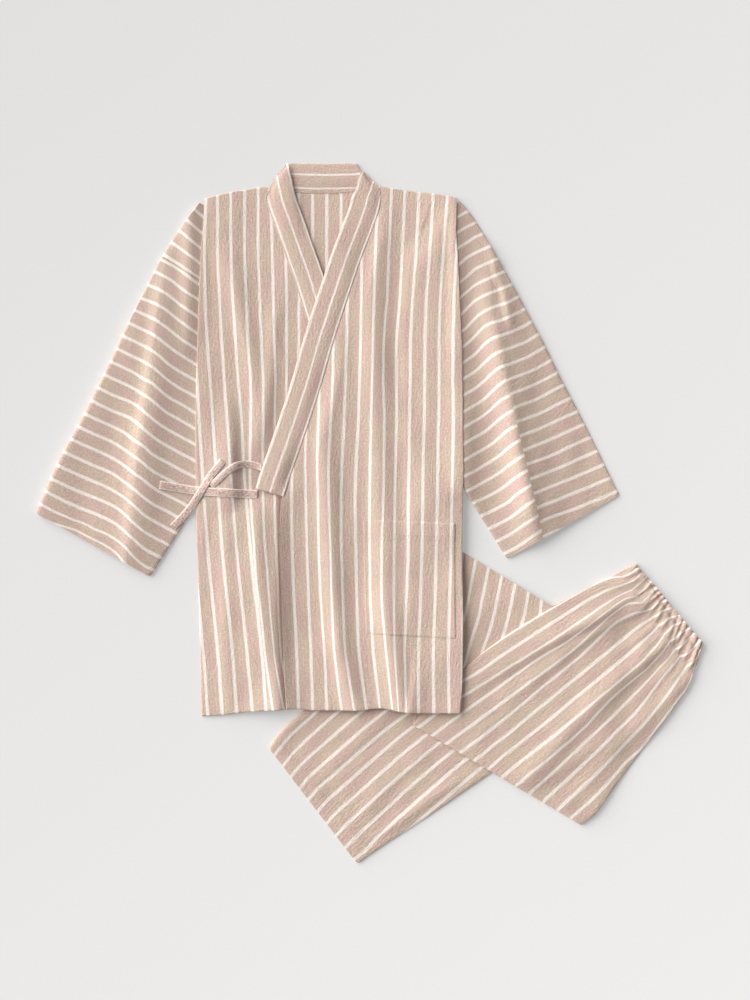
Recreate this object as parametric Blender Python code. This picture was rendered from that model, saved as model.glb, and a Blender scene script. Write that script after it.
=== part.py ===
"""Jinbei set laid flat: a striped wrap jacket lying over its half trousers, which are folded along
their centre, with the upper leg turned back under itself.  Sizes are in millimetres; MM turns them
into metres when a mesh is made.  +X is the wearer's left, +Y the neck, +Z up from the floor."""

from collections import namedtuple
from math import cos, exp, hypot, pi, sin

import bmesh
import bpy

MM = 0.001

# Driving sizes of the cloth
CLOTH = 1.2                        # wall of the cotton
BAND = 1.8                         # collar band, doubled cloth
SEAM = 0.3                         # clearance at seams and between flat layers
EASE = 0.9                         # clearance between layers that bend together
TUBE = 2 * CLOTH + SEAM            # a sleeve or leg pressed flat
LAYER = TUBE + SEAM                # one flat tube and its clearance
FRONT_UNDER = CLOTH + EASE         # underside of a front that lies on the back
OVERLAP_STEP = BAND + EASE         # rise of the left front where it crosses the right one
SLEEVE_STEP = TUBE + EASE - FRONT_UNDER
FOLD_RADIUS = SEAM / 2             # inside radius where the upper leg turns under

# The turned side of a flat tube: how far its bevel reaches in, and how much of its height is upright
Turn = namedtuple("Turn", "inset flat")
OUTER_TURN = Turn(1.5, 0.32)
INNER_TURN = Turn(1.2, 0.5)

# How far the rises spread beyond the edge that causes them
Spread = namedtuple("Spread", "keep ramp")
LEG_SPREAD = Spread(32, 45)        # the upper leg over the lower one
JACKET_SPREAD = Spread(42, 80)     # the jacket over the trousers
OVERLAP_SPREAD = Spread(30, 50)    # the left front over the right one
TUCK_SPREAD = Spread(22, 45)       # a front over the tucked edge of a sleeve

Point = namedtuple("Point", "x y")
Edges = namedtuple("Edges", "y left right")
Span = namedtuple("Span", "left_x left_y right_x right_y")
Ridge = namedtuple("Ridge", "x0 y0 x1 y1 left right height")
Columns = namedtuple("Columns", "top bottom")

# How finely the walls of the flat tubes are divided across
SLEEVE_COLUMNS = Columns(12, 6)
SHOULDER_COLUMNS = Columns(4, 3)
UPPER_LEG_COLUMNS = Columns(25, 9)
LOWER_LEG_COLUMNS = Columns(10, 6)

# Jacket body
BODY_TOP = 458
BODY_HEM = -287
SETTLE = 6                         # rounds that fit a row's points to the side edges
SHOULDER_LINE = [Point(-241, 458), Point(-204, 467), Point(-154, 475), Point(-146, 468), Point(4, 468),
                 Point(12, 474), Point(44, 471), Point(95, 465), Point(127, 459)]
HEM_LINE = [Point(-245, -295), Point(-211, -293), Point(-189, -289), Point(-131, -285),
            Point(-105, -283), Point(-90, -286), Point(-15, -286), Point(7, -283), Point(22, -282),
            Point(36, -286), Point(51, -289), Point(131, -290)]
BACK_EDGES = [Edges(458, -236, 119), Edges(40, -236, 119), Edges(20, -236, 121), Edges(-5, -252, 133),
              Edges(-68, -250, 133), Edges(-155, -247, 134), Edges(-287, -243, 130)]
RIGHT_FRONT_EDGES = [Edges(458, -240, -153), Edges(445, -241, -146), Edges(416, -243, -135),
                     Edges(378, -246, -122), Edges(334, -248, -106), Edges(279, -250, -89),
                     Edges(209, -252, -63), Edges(122, -254, -29), Edges(25, -253, 9),
                     Edges(-39, -252, 13), Edges(-155, -248, 13), Edges(-287, -245, 9)]
LEFT_FRONT_EDGES = [Edges(458, 127, 16), Edges(437, 126, 10), Edges(407, 125, -1), Edges(372, 128, -15),
                    Edges(330, 130, -29), Edges(285, 132, -44), Edges(244, 134, -57),
                    Edges(177, 135, -76), Edges(111, 135, -98), Edges(66, 136, -114),
                    Edges(25, 135, -128), Edges(-9, 134, -131), Edges(-68, 134, -130),
                    Edges(-155, 135, -127), Edges(-242, 134, -124), Edges(-287, 131, -121)]
RIGHT_FRONT_ROWS = [458, 445, 416, 378, 334, 279, 244, 209, 165, 122, 75, 25, -9, -48, -90, -130, -175,
                    -220, -255, -287]
LEFT_FRONT_ROWS = [458, 437, 407, 372, 330, 285, 244, 210, 177, 144, 111, 66, 25, -8, -50, -92, -134,
                   -177, -215, -250, -287]
BACK_ROWS = [458, 420, 370, 320, 260, 200, 140, 80, 40, 20, -5, -45, -90, -135, -180, -225, -287]
RIGHT_FRONT_COLUMNS = 11
BACK_COLUMNS = 13
LEFT_FRONT_PLACES = [0, 0.082, 0.17, 0.258, 0.346, 0.412, 0.462, 0.544, 0.626, 0.709, 0.791, 0.874,
                     0.956, 1]
RIGHT_FRONT_FOLDS = [Ridge(-201, 311, -189, 78, 22, 26, 2.4), Ridge(-172, 434, -186, 180, 26, 26, 2.0),
                     Ridge(-165, 20, -158, -272, 15, 20, 3.2), Ridge(-215, -20, -205, -280, 18, 14, 2.4)]
LEFT_FRONT_FOLDS = [Ridge(3, 311, 4, -8, 18, 30, 2.6), Ridge(80, 260, 73, -10, 24, 30, 2.2),
                    Ridge(7, -150, 18, -300, 14, 24, 4.0), Ridge(100, -60, 112, -300, 20, 26, 2.4),
                    Ridge(-88, -10, -76, -280, 24, 26, 2.2), Ridge(44, 456, 36, 260, 26, 30, 2.0)]

# Collar band.  Its corner rows, where it turns over at the shoulder, run from the free edge to the sewn
# edge; below them the band follows the neck edge of its front at its own width.
COLLAR_WIDTH = 41
COLLAR_COLUMNS = 4
LEFT_CORNER = [Span(-15, 498, -7, 496), Span(-19, 487, 6, 482)]
RIGHT_CORNER = [Span(-119, 501, -126, 499), Span(-116, 491, -142, 486)]
COLLAR_END = 25                    # height of the front row where the band ends
BACK_COLLAR = [Span(-127, 505, -140, 473), Span(-104, 510, -108, 469.5), Span(-70, 507, -72, 469),
               Span(-36, 510, -36, 469.5), Span(-11, 506, 3, 473)]

# Sleeves and dropped shoulders: each row runs from the outer edge to the tucked edge
RIGHT_SHOULDER = [Span(-248, 452, -241, 448), Span(-262, 433, -240, 422), Span(-280, 411, -240, 389),
                  Span(-302, 374.5, -240, 337.5)]
LEFT_SHOULDER = [Span(131, 454, 124, 449), Span(146, 438, 124, 425), Span(165, 408, 124, 385),
                 Span(186, 373.5, 124, 336.5)]
RIGHT_SLEEVE = [Span(-303, 373, -240, 336), Span(-320, 340, -240, 295), Span(-338, 302, -240, 251),
                Span(-360, 261, -240, 193), Span(-376, 223, -240, 151), Span(-397, 183, -240, 95),
                Span(-416, 143, -241, 52), Span(-437, 106, -250, 15), Span(-456, 71, -275, -22),
                Span(-470, 38, -297, -57), Span(-486, 1, -320, -92)]
LEFT_SLEEVE = [Span(186, 372, 124, 335), Span(205, 337, 124, 292), Span(220, 311, 124, 258),
               Span(234, 282, 124, 223), Span(255, 245, 124, 175), Span(272, 207, 124, 130),
               Span(293, 168, 125, 81), Span(313, 129, 132, 40), Span(332, 91, 154, 7),
               Span(349, 55, 179, -33), Span(363, 27, 199, -66)]
RIGHT_SLEEVE_FOLDS = [Ridge(-301, 380, -355, -75, 12, 34, 4.2), Ridge(-364, 245, -430, 60, 16, 14, 2.0)]
LEFT_SLEEVE_FOLDS = [Ridge(197, 200, 254, -50, 9, 34, 4.6), Ridge(172, 400, 212, 290, 8, 12, 2.2),
                     Ridge(180, 345, 200, 240, 8, 12, 2.0)]
MOUTH_RISE = 5.0                   # how far a cuff stands open
MOUTH_DEPTH = 45                   # how far up the sleeve that shows

# Pocket: rows and columns of the left front that it covers
POCKET_ROWS = range(13, 18)
POCKET_COLUMNS = range(6, 13)

# Trousers
UPPER_LEG = [Span(351, -91.4, 462.6, -257), Span(335, -98, 456, -264), Span(316, -109, 447, -277),
             Span(284, -126, 432, -298), Span(248, -146, 415, -320), Span(211, -168, 397, -343),
             Span(175, -193, 379, -367), Span(143, -218, 360, -392), Span(106, -257, 342, -418),
             Span(79, -286, 327, -440), Span(63, -305, 309, -451)]
TURNED_LEG = [Span(71, -265, 307.3, -405), Span(83, -210, 305, -342), Span(96, -155, 302.6, -279),
              Span(108, -98, 300.2, -214), Span(119, -46, 298, -155)]
FOLD_LINE = UPPER_LEG[-1]
FOLD_TURNS = 6                     # facets round the turned edge
LOWER_LEG = [Span(-147, -341, -18, -510), Span(-139, -328, -1, -497), Span(-130, -316, 29, -477),
             Span(-106, -293, 87, -440), Span(-58, -257, 146, -398), Span(15, -213, 204, -359),
             Span(102, -184, 277, -323), Span(204, -162, 364, -285), Span(291, -123, 422, -262),
             Span(350.6, -92, 462, -257.6)]
LOWER_LEG_UPPER_EDGE = [Point(-147, -341), Point(-98, -285), Point(-44, -242), Point(44, -202),
                        Point(135, -184), Point(204, -162), Point(291, -123), Point(387, -72)]
LOWER_LEG_LOWER_EDGE = [Point(-19, -509), Point(87, -440), Point(167, -379), Point(277, -323),
                        Point(364, -279), Point(466, -257)]
UPPER_LEG_UPPER_EDGE = [Point(51, -400), Point(63, -305), Point(135, -225), Point(266, -135),
                        Point(387, -72)]
TURNED_HEM = [Point(119, -46), Point(298, -155)]
TURNED_LEFT_EDGE = [Point(-305, 63), Point(-46, 119)]     # x and y exchanged: place along y, then x
TURNED_RIGHT_EDGE = [Point(-451, 309), Point(-155, 298)]  # as above
Gather = namedtuple("Gather", "place length height")
GATHERS = [Gather(0.07, 55, 1.8), Gather(0.16, 120, 2.8), Gather(0.26, 60, 2.0), Gather(0.35, 95, 2.6),
           Gather(0.46, 50, 1.8), Gather(0.55, 150, 3.6), Gather(0.65, 70, 2.2), Gather(0.74, 120, 3.0),
           Gather(0.84, 55, 2.0), Gather(0.93, 100, 2.6)]
GATHER_WIDTH = 7
UPPER_LEG_FOLDS = [Ridge(330, -255, 190, -385, 14, 22, 3.0), Ridge(285, -165, 165, -250, 16, 20, 2.4)]
LOWER_LEG_FOLDS = [Ridge(-40, -470, 110, -400, 16, 12, 2.6), Ridge(-118, -385, -70, -330, 12, 14, 1.8)]
WAIST_TOP = Span(387, -72, 485.5, -189)
WAIST_SEAM = Span(351.2, -91, 462.9, -256.6)
RUFFLES = 21
RUFFLE_SAMPLES = 4                 # points round one wave
PLAIN_POINTS = 6                   # points along a layer with no waves
EDGE_POINT = 1.0                   # how far in from a turned edge its first flat point lies
Casing = namedtuple("Casing", "down ruffle scallop")
CASING = [Casing(0, 3.2, 1.0), Casing(0.45, 2.2, 0.5), Casing(1, 0.8, 0)]

# Ties
Strip = namedtuple("Strip", "x y z")
TIE_WIDTH = 12.5
CROSS_TIE = [Strip(-305, 42, 3.3), Strip(-290, 39, 3.5), Strip(-272, 36, 4.4), Strip(-258, 34, 5.4),
             Strip(-240, 32, 5.7), Strip(-222, 31, 5.6), Strip(-204, 30, 5.0), Strip(-184, 29, 4.4),
             Strip(-163, 28, 3.9)]
OVER_TIE = [Strip(-217, 75, 6.4), Strip(-225, 62, 7.0), Strip(-233, 48, 7.5), Strip(-241, 35, 7.6),
            Strip(-252, 23, 7.3), Strip(-262, 12, 6.2), Strip(-271, 1, 4.8), Strip(-278, -9, 3.8),
            Strip(-282, -20, 3.5)]
FRONT_TIE = [Strip(-158.5, 69, 4.6), Strip(-167, 70.5, 4.4), Strip(-178, 71, 4.5), Strip(-191, 69, 4.9),
             Strip(-201, 63, 5.2), Strip(-211, 57, 5.4), Strip(-220, 52, 5.5)]

STRIPED_COTTON = ("striped_cotton", (0.60, 0.46, 0.38, 1))
COLLAR_COTTON = ("collar_cotton", (0.66, 0.52, 0.43, 1))
TIE_COTTON = ("tie_cotton", (0.70, 0.54, 0.46, 1))
ROUGHNESS = 0.92


# ---------------------------------------------------------------- measuring

def blend(a, b, t):
    return a + (b - a) * t


def even(count):
    """Evenly spaced places from 0 to 1."""
    return [k / (count - 1) for k in range(count)]


def level(points, x):
    """Height of an edge at x; its end stretches run on straight beyond it."""
    k = 0
    while k < len(points) - 2 and x > points[k + 1].x:
        k += 1
    a, b = points[k], points[k + 1]
    return blend(a.y, b.y, (x - a.x) / (b.x - a.x))


def width_at(edges, y):
    """Left and right edge of a panel at a height y, between rows listed from the top down."""
    k = 0
    while k < len(edges) - 2 and y < edges[k + 1].y:
        k += 1
    a, b = edges[k], edges[k + 1]
    t = (y - a.y) / (b.y - a.y)
    return blend(a.left, b.left, t), blend(a.right, b.right, t)


def fade(outside, spread):
    """1 up to spread.keep outside an edge, then easing to 0 over spread.ramp."""
    t = min(max((outside - spread.keep) / spread.ramp, 0), 1)
    return 1 - t * t * (3 - 2 * t)


FOLD_ENDS = 0.6                    # below 1, a ridge keeps its height nearer to its ends


def folds_at(x, y, ridges):
    """Height of soft ridges: round across, fading out at both ends, each flank with its own width."""
    total = 0
    for r in ridges:
        run_x, run_y = r.x1 - r.x0, r.y1 - r.y0
        length = hypot(run_x, run_y)
        t = ((x - r.x0) * run_x + (y - r.y0) * run_y) / length ** 2
        if 0 < t < 1:
            off = (run_x * (y - r.y0) - run_y * (x - r.x0)) / length
            flank = r.left if off > 0 else r.right
            total += r.height * sin(pi * t) ** FOLD_ENDS * exp(-(off / flank) ** 2)
    return total


# ---------------------------------------------------------------- how the pieces stack

def lower_leg_under(x, y, spread):
    above = fade(y - level(LOWER_LEG_UPPER_EDGE, x), spread)
    below = fade(level(LOWER_LEG_LOWER_EDGE, x) - y, spread)
    return above * below


def turned_leg_under(x, y, spread):
    above = fade(y - level(TURNED_HEM, x), spread)
    left = fade(level(TURNED_LEFT_EDGE, y) - x, spread)
    right = fade(x - level(TURNED_RIGHT_EDGE, y), spread)
    return above * left * right


def ground(x, y):
    """What the upper leg lies on: the floor, or the lower leg."""
    return LAYER * lower_leg_under(x, y, LEG_SPREAD)


def trousers_under(x, y):
    """Underside of the jacket: the floor, or the trousers it lies on."""
    lower = fade(y - level(LOWER_LEG_UPPER_EDGE, x), JACKET_SPREAD)
    turned = turned_leg_under(x, y, JACKET_SPREAD)
    upper = fade(y - level(UPPER_LEG_UPPER_EDGE, x), JACKET_SPREAD)
    return LAYER * (lower + turned + upper)


def over_sleeve(x, y):
    """1 where a front rides over the tucked edge of a sleeve."""
    right = fade(x - BACK_EDGES[0].left, TUCK_SPREAD)
    left = fade(BACK_EDGES[0].right - x, TUCK_SPREAD)
    return max(right, left) * fade(-y, TUCK_SPREAD)


def right_front_level(x, y):
    """Underside of the right front and of its collar."""
    return trousers_under(x, y) + FRONT_UNDER + SLEEVE_STEP * over_sleeve(x, y)


def left_front_level(x, y):
    """Underside of the left front and of its collar, which cross the right ones."""
    collar = COLLAR_WIDTH if y > COLLAR_END else 0
    reach = width_at(RIGHT_FRONT_EDGES, y)[1] + collar
    crossing = fade(x - reach, OVERLAP_SPREAD)
    return trousers_under(x, y) + FRONT_UNDER + OVERLAP_STEP * crossing + SLEEVE_STEP * over_sleeve(x, y)


# ---------------------------------------------------------------- making solids

def material(finish):
    name, colour = finish
    made = bpy.data.materials.get(name)
    if made is None:
        made = bpy.data.materials.new(name)
        made.use_nodes = True
        shader = made.node_tree.nodes["Principled BSDF"]
        shader.inputs["Base Color"].default_value = colour
        shader.inputs["Roughness"].default_value = ROUGHNESS
        shader.inputs["Metallic"].default_value = 0
        made.diffuse_color = colour
    return made


def solid(name, points, faces, finish, parent):
    """One closed body from points in millimetres, its faces turned outward."""
    mesh = bpy.data.meshes.new(name)
    mesh.from_pydata([(x * MM, y * MM, z * MM) for x, y, z in points], [], faces)
    work = bmesh.new()
    work.from_mesh(mesh)
    bmesh.ops.recalc_face_normals(work, faces=work.faces)
    work.to_mesh(mesh)
    work.free()
    mesh.shade_smooth()
    mesh.set_sharp_from_angle(angle=pi / 4)
    mesh.materials.append(material(finish))
    made = bpy.data.objects.new(name, mesh)
    bpy.context.scene.collection.objects.link(made)
    made.parent = parent
    return made


def panel(name, grid, thickness, finish, parent):
    """A sheet with square edges: grid holds rows of (x, y, underside)."""
    rows, columns = len(grid), len(grid[0])
    under = [point for row in grid for point in row]
    over = [(x, y, z + thickness) for x, y, z in under]
    top = len(under)
    faces = []
    for i in range(rows - 1):
        for j in range(columns - 1):
            a = i * columns + j
            b = a + columns
            for half in ((a, b, b + 1), (a, b + 1, a + 1)):
                faces.append(half[::-1])
                faces.append(tuple(top + k for k in half))
    rim = [j for j in range(columns)]
    rim += [i * columns + columns - 1 for i in range(1, rows)]
    rim += [(rows - 1) * columns + j for j in range(columns - 2, -1, -1)]
    rim += [i * columns for i in range(rows - 2, 0, -1)]
    for a, b in zip(rim, rim[1:] + rim[:1]):
        faces.append((a, b, top + b, top + a))
    return solid(name, under + over, faces, finish, parent)


def pipe(name, outer, inner, finish, parent):
    """A wall between two rows of matching closed loops, open at both ends."""
    rows, around = len(outer), len(outer[0])
    points = [p for loop in outer for p in loop] + [p for loop in inner for p in loop]
    second = rows * around
    faces = []
    for j in range(around):
        k = (j + 1) % around
        for i in range(rows - 1):
            a, b = i * around, (i + 1) * around
            for half in ((a + j, a + k, b + k), (a + j, b + k, b + j)):
                faces.append(half)
                faces.append(tuple(second + p for p in half[::-1]))
        last = (rows - 1) * around
        faces.append((k, j, second + j, second + k))
        faces.append((last + j, last + k, second + last + k, second + last + j))
    return solid(name, points, faces, finish, parent)


def flat_section(width, top_columns, bottom_columns):
    """Section of a flattened tube as matching outer and inner loops of (place, height, on_top)."""
    def loop(side, low, high, turned):
        inside = side + turned.inset
        span = width - 2 * inside
        half = (high - low) * turned.flat / 2
        middle = (low + high) / 2
        points = [(side, middle - half, False), (side, middle + half, True)]
        for t in even(top_columns):
            points.append((inside + span * t, high, True))
        points.append((width - side, middle + half, True))
        points.append((width - side, middle - half, False))
        for t in even(bottom_columns):
            points.append((width - inside - span * t, low, False))
        return [(place / width, height, on_top) for place, height, on_top in points]

    return loop(0, 0, TUBE, OUTER_TURN), loop(CLOTH, CLOTH, TUBE - CLOTH, INNER_TURN)


def flat_tube(name, spans, rise, columns, finish, parent):
    """A tube pressed flat on the floor along rows of spans; rise(x, y, place) lifts its upper wall."""
    outer_rows, inner_rows = [], []
    for row in spans:
        width = hypot(row.right_x - row.left_x, row.right_y - row.left_y)
        loops = []
        for section in flat_section(width, columns.top, columns.bottom):
            loop = []
            for place, height, on_top in section:
                x = blend(row.left_x, row.right_x, place)
                y = blend(row.left_y, row.right_y, place)
                lift = rise(x, y, place) if on_top else 0
                loop.append((x, y, height + lift))
            loops.append(loop)
        outer_rows.append(loops[0])
        inner_rows.append(loops[1])
    return pipe(name, outer_rows, inner_rows, finish, parent)


# ---------------------------------------------------------------- jacket

def body_grid(edges, rows, places, underside, folds):
    """Grid of a body panel between its side edges, shoulder line and hem line."""
    grid = []
    for y_row in rows:
        down = (BODY_TOP - y_row) / (BODY_TOP - BODY_HEM)
        line = []
        for place in places:
            y = y_row
            for _ in range(SETTLE):
                left, right = width_at(edges, y)
                x = blend(left, right, place)
                shoulder = level(SHOULDER_LINE, x) - BODY_TOP
                y = y_row + blend(shoulder, level(HEM_LINE, x) - BODY_HEM, down)
            line.append((x, y, underside(x, y) + folds_at(x, y, folds)))
        grid.append(line)
    return grid


def make_back(parent):
    grid = body_grid(BACK_EDGES, BACK_ROWS, even(BACK_COLUMNS), trousers_under, [])
    return panel("back_body", grid, CLOTH, STRIPED_COTTON, parent)


def make_fronts(parent):
    right = body_grid(RIGHT_FRONT_EDGES, RIGHT_FRONT_ROWS, even(RIGHT_FRONT_COLUMNS),
                      right_front_level, RIGHT_FRONT_FOLDS)
    panel("front_right", right, CLOTH, STRIPED_COTTON, parent)
    left_edges = [Edges(row.y, row.right, row.left) for row in LEFT_FRONT_EDGES]
    left = body_grid(left_edges, LEFT_FRONT_ROWS, LEFT_FRONT_PLACES, left_front_level, LEFT_FRONT_FOLDS)
    panel("front_left", left, CLOTH, STRIPED_COTTON, parent)
    pocket = [[(left[i][j][0], left[i][j][1], left[i][j][2] + CLOTH + SEAM) for j in POCKET_COLUMNS]
              for i in POCKET_ROWS]
    panel("pocket", pocket, CLOTH, STRIPED_COTTON, parent)
    return left, right


def band_grid(spans, underside):
    """Grid across a collar stretch."""
    grid = []
    for row in spans:
        line = []
        for t in even(COLLAR_COLUMNS):
            x, y = blend(row.left_x, row.right_x, t), blend(row.left_y, row.right_y, t)
            line.append((x, y, underside(x, y)))
        grid.append(line)
    return grid


def collar_spans(corner, neck_edge, side):
    """Rows of a collar stretch: the corner, then the front's neck edge and a free edge beside it."""
    spans = list(corner)
    for k, (x, y) in enumerate(neck_edge):
        before, after = neck_edge[max(k - 1, 0)], neck_edge[min(k + 1, len(neck_edge) - 1)]
        run_x, run_y = after[0] - before[0], after[1] - before[1]
        length = hypot(run_x, run_y)
        off_x, off_y = -run_y / length * side, run_x / length * side
        spans.append(Span(x + off_x * COLLAR_WIDTH, y + off_y * COLLAR_WIDTH,
                          x + off_x * SEAM, y + off_y * SEAM))
    return spans


def make_collar(left_front, right_front, parent):
    left_neck = [row[0][:2] for row in left_front if row[0][1] > COLLAR_END - 1]
    right_neck = [row[-1][:2] for row in right_front if row[-1][1] > COLLAR_END - 1]
    left = band_grid(collar_spans(LEFT_CORNER, left_neck, -1), left_front_level)
    right = band_grid(collar_spans(RIGHT_CORNER, right_neck, 1), right_front_level)
    panel("collar_left", left, BAND, COLLAR_COTTON, parent)
    panel("collar_right", right, BAND, COLLAR_COTTON, parent)
    panel("collar_back", band_grid(BACK_COLLAR, lambda x, y: 0), BAND, COLLAR_COTTON, parent)


def make_sleeves(parent):
    def sleeve(name, spans, folds):
        def rise(x, y, place):
            cuff = spans[-1]
            away = hypot(x - blend(cuff.left_x, cuff.right_x, place),
                         y - blend(cuff.left_y, cuff.right_y, place))
            mouth = MOUTH_RISE * exp(-(away / MOUTH_DEPTH) ** 2) * sin(pi * min(max(place, 0), 1))
            return folds_at(x, y, folds) + mouth

        return flat_tube(name, spans, rise, SLEEVE_COLUMNS, STRIPED_COTTON, parent)

    sleeve("sleeve_right", RIGHT_SLEEVE, RIGHT_SLEEVE_FOLDS)
    sleeve("sleeve_left", LEFT_SLEEVE, LEFT_SLEEVE_FOLDS)
    for name, spans in (("shoulder_right", RIGHT_SHOULDER), ("shoulder_left", LEFT_SHOULDER)):
        flat_tube(name, spans, lambda x, y, place: 0, SHOULDER_COLUMNS, STRIPED_COTTON, parent)


def make_ties(parent):
    for name, path in (("tie_cross", CROSS_TIE), ("tie_over", OVER_TIE), ("tie_front", FRONT_TIE)):
        grid = []
        for k, at in enumerate(path):
            before, after = path[max(k - 1, 0)], path[min(k + 1, len(path) - 1)]
            run_x, run_y = after.x - before.x, after.y - before.y
            length = hypot(run_x, run_y)
            side_x, side_y = -run_y / length * TIE_WIDTH / 2, run_x / length * TIE_WIDTH / 2
            grid.append([(at.x + side_x * s, at.y + side_y * s, at.z) for s in (1, 0, -1)])
        panel(name, grid, CLOTH, TIE_COTTON, parent)


# ---------------------------------------------------------------- trousers

def gather_ridges():
    """Gathers that run from the waist seam down the upper leg."""
    waist, low = UPPER_LEG[0], UPPER_LEG[4]
    ridges = []
    for gather in GATHERS:
        x0 = blend(waist.left_x, waist.right_x, gather.place)
        y0 = blend(waist.left_y, waist.right_y, gather.place)
        run_x = blend(low.left_x, low.right_x, gather.place) - x0
        run_y = blend(low.left_y, low.right_y, gather.place) - y0
        reach = gather.length / hypot(run_x, run_y)
        ridges.append(Ridge(x0, y0, x0 + run_x * reach, y0 + run_y * reach,
                            GATHER_WIDTH, GATHER_WIDTH, gather.height))
    return ridges


def make_upper_leg(parent):
    """One flattened tube: down the leg, round the turned edge, and back underneath to its hem."""
    folds = UPPER_LEG_FOLDS + gather_ridges()
    line_x, line_y = FOLD_LINE.right_x - FOLD_LINE.left_x, FOLD_LINE.right_y - FOLD_LINE.left_y
    line = hypot(line_x, line_y)
    out_x, out_y = line_y / line, -line_x / line
    stations = [(row, 0) for row in UPPER_LEG]
    stations += [(FOLD_LINE, pi * k / FOLD_TURNS) for k in range(1, FOLD_TURNS + 1)]
    stations += [(row, pi) for row in TURNED_LEG]
    outer_rows, inner_rows = [], []
    for row, turn in stations:
        width = hypot(row.right_x - row.left_x, row.right_y - row.left_y)
        loops = []
        for section in flat_section(width, UPPER_LEG_COLUMNS.top, UPPER_LEG_COLUMNS.bottom):
            loop = []
            for place, height, on_top in section:
                x = blend(row.left_x, row.right_x, place)
                y = blend(row.left_y, row.right_y, place)
                radius = FOLD_RADIUS + height
                middle = ground(x, y) + TUBE + FOLD_RADIUS
                z = middle + radius * cos(turn)
                if turn == 0:
                    z -= LAYER * (1 - turned_leg_under(x, y, LEG_SPREAD))
                    z += folds_at(x, y, folds) if on_top else 0
                loop.append((x + out_x * radius * sin(turn), y + out_y * radius * sin(turn), z))
            loops.append(loop)
        outer_rows.append(loops[0])
        inner_rows.append(loops[1])
    return pipe("leg_upper", outer_rows, inner_rows, STRIPED_COTTON, parent)


def make_lower_leg(parent):
    def rise(x, y, place):
        return folds_at(x, y, LOWER_LEG_FOLDS)

    return flat_tube("leg_lower", LOWER_LEG, rise, LOWER_LEG_COLUMNS, STRIPED_COTTON, parent)


def casing_loops(width):
    """Section of the waist casing, one loop pressed flat and folded in half into four layers, as
    matching loops of (place, height, ruffled) for its outside and its inside."""
    def across(start, end, z, count, ruffled=False):
        return [(blend(start, end, t) / width, z, ruffled) for t in even(count)]

    def upright(place, low, high):
        return [(place / width, low, False), (place / width, high, False)]

    waves = RUFFLES * RUFFLE_SAMPLES + 1
    top, nested = LAYER + TUBE, width - TUBE
    outer = across(EDGE_POINT, width - EDGE_POINT, top, waves, True)
    outer += upright(width, top - CLOTH, CLOTH)
    outer += across(width - EDGE_POINT, EDGE_POINT, 0, PLAIN_POINTS)
    outer += upright(0, CLOTH / 2, TUBE - CLOTH / 2)
    outer += across(EDGE_POINT, nested, TUBE, PLAIN_POINTS)
    outer += across(nested, EDGE_POINT, LAYER, PLAIN_POINTS)
    outer += upright(0, LAYER + CLOTH / 2, top - CLOTH / 2)
    left, right = CLOTH, width - CLOTH
    first = left + EDGE_POINT
    inner = across(first, right, top - CLOTH, waves, True)
    inner += upright(right, top - CLOTH - SEAM / 2, CLOTH + SEAM / 2)
    inner += across(right - EDGE_POINT, first, CLOTH, PLAIN_POINTS)
    inner += upright(left, CLOTH + SEAM / 3, CLOTH + SEAM * 2 / 3)
    inner += across(first, right - SEAM, CLOTH + SEAM, PLAIN_POINTS)
    inner += across(right - SEAM, first, LAYER + CLOTH, PLAIN_POINTS)
    inner += upright(left, LAYER + CLOTH + SEAM / 3, LAYER + CLOTH + SEAM * 2 / 3)
    return outer, inner


def make_waistband(parent):
    """The gathered casing: a heading that stands out in ruffles, closing down to its seam."""
    run_x, run_y = WAIST_TOP.right_x - WAIST_TOP.left_x, WAIST_TOP.right_y - WAIST_TOP.left_y
    run = hypot(run_x, run_y)
    out_x, out_y = -run_y / run, run_x / run
    outer_rows, inner_rows = [], []
    for row in CASING:
        edge = Span(*[blend(top, seam, row.down) for top, seam in zip(WAIST_TOP, WAIST_SEAM)])
        made = []
        for section in casing_loops(hypot(edge.right_x - edge.left_x, edge.right_y - edge.left_y)):
            loop = []
            for place, z, ruffled in section:
                swell = (1 - cos(2 * pi * RUFFLES * place)) / 2 if ruffled else 0
                push = row.scallop * swell
                loop.append((blend(edge.left_x, edge.right_x, place) + out_x * push,
                             blend(edge.left_y, edge.right_y, place) + out_y * push,
                             z + row.ruffle * swell))
            made.append(loop)
        outer_rows.append(made[0])
        inner_rows.append(made[1])
    return pipe("waistband", outer_rows, inner_rows, STRIPED_COTTON, parent)


def main():
    for old in list(bpy.data.objects):
        bpy.data.objects.remove(old)
    jacket = bpy.data.objects.new("jacket", None)
    trousers = bpy.data.objects.new("trousers", None)
    for group in (jacket, trousers):
        bpy.context.scene.collection.objects.link(group)
    make_back(jacket)
    left_front, right_front = make_fronts(jacket)
    make_collar(left_front, right_front, jacket)
    make_sleeves(jacket)
    make_ties(jacket)
    make_upper_leg(trousers)
    make_lower_leg(trousers)
    make_waistband(trousers)


main()
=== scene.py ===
# %% [markdown]
# # A jinbei set, laid flat
# A jinbei is a summer suit of crinkled striped cotton: a wrap jacket that closes with narrow ties, and
# half trousers with a gathered waist.  This lesson dresses the plain solids of the set, which already
# have its outline and its main folds, in cloth with stripes, hems, stitches and creases.
# Every table is in millimetres, because that is how a maker measures.  +X is the wearer's left, +Y is
# the neck and +Z is up from the table.

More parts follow.
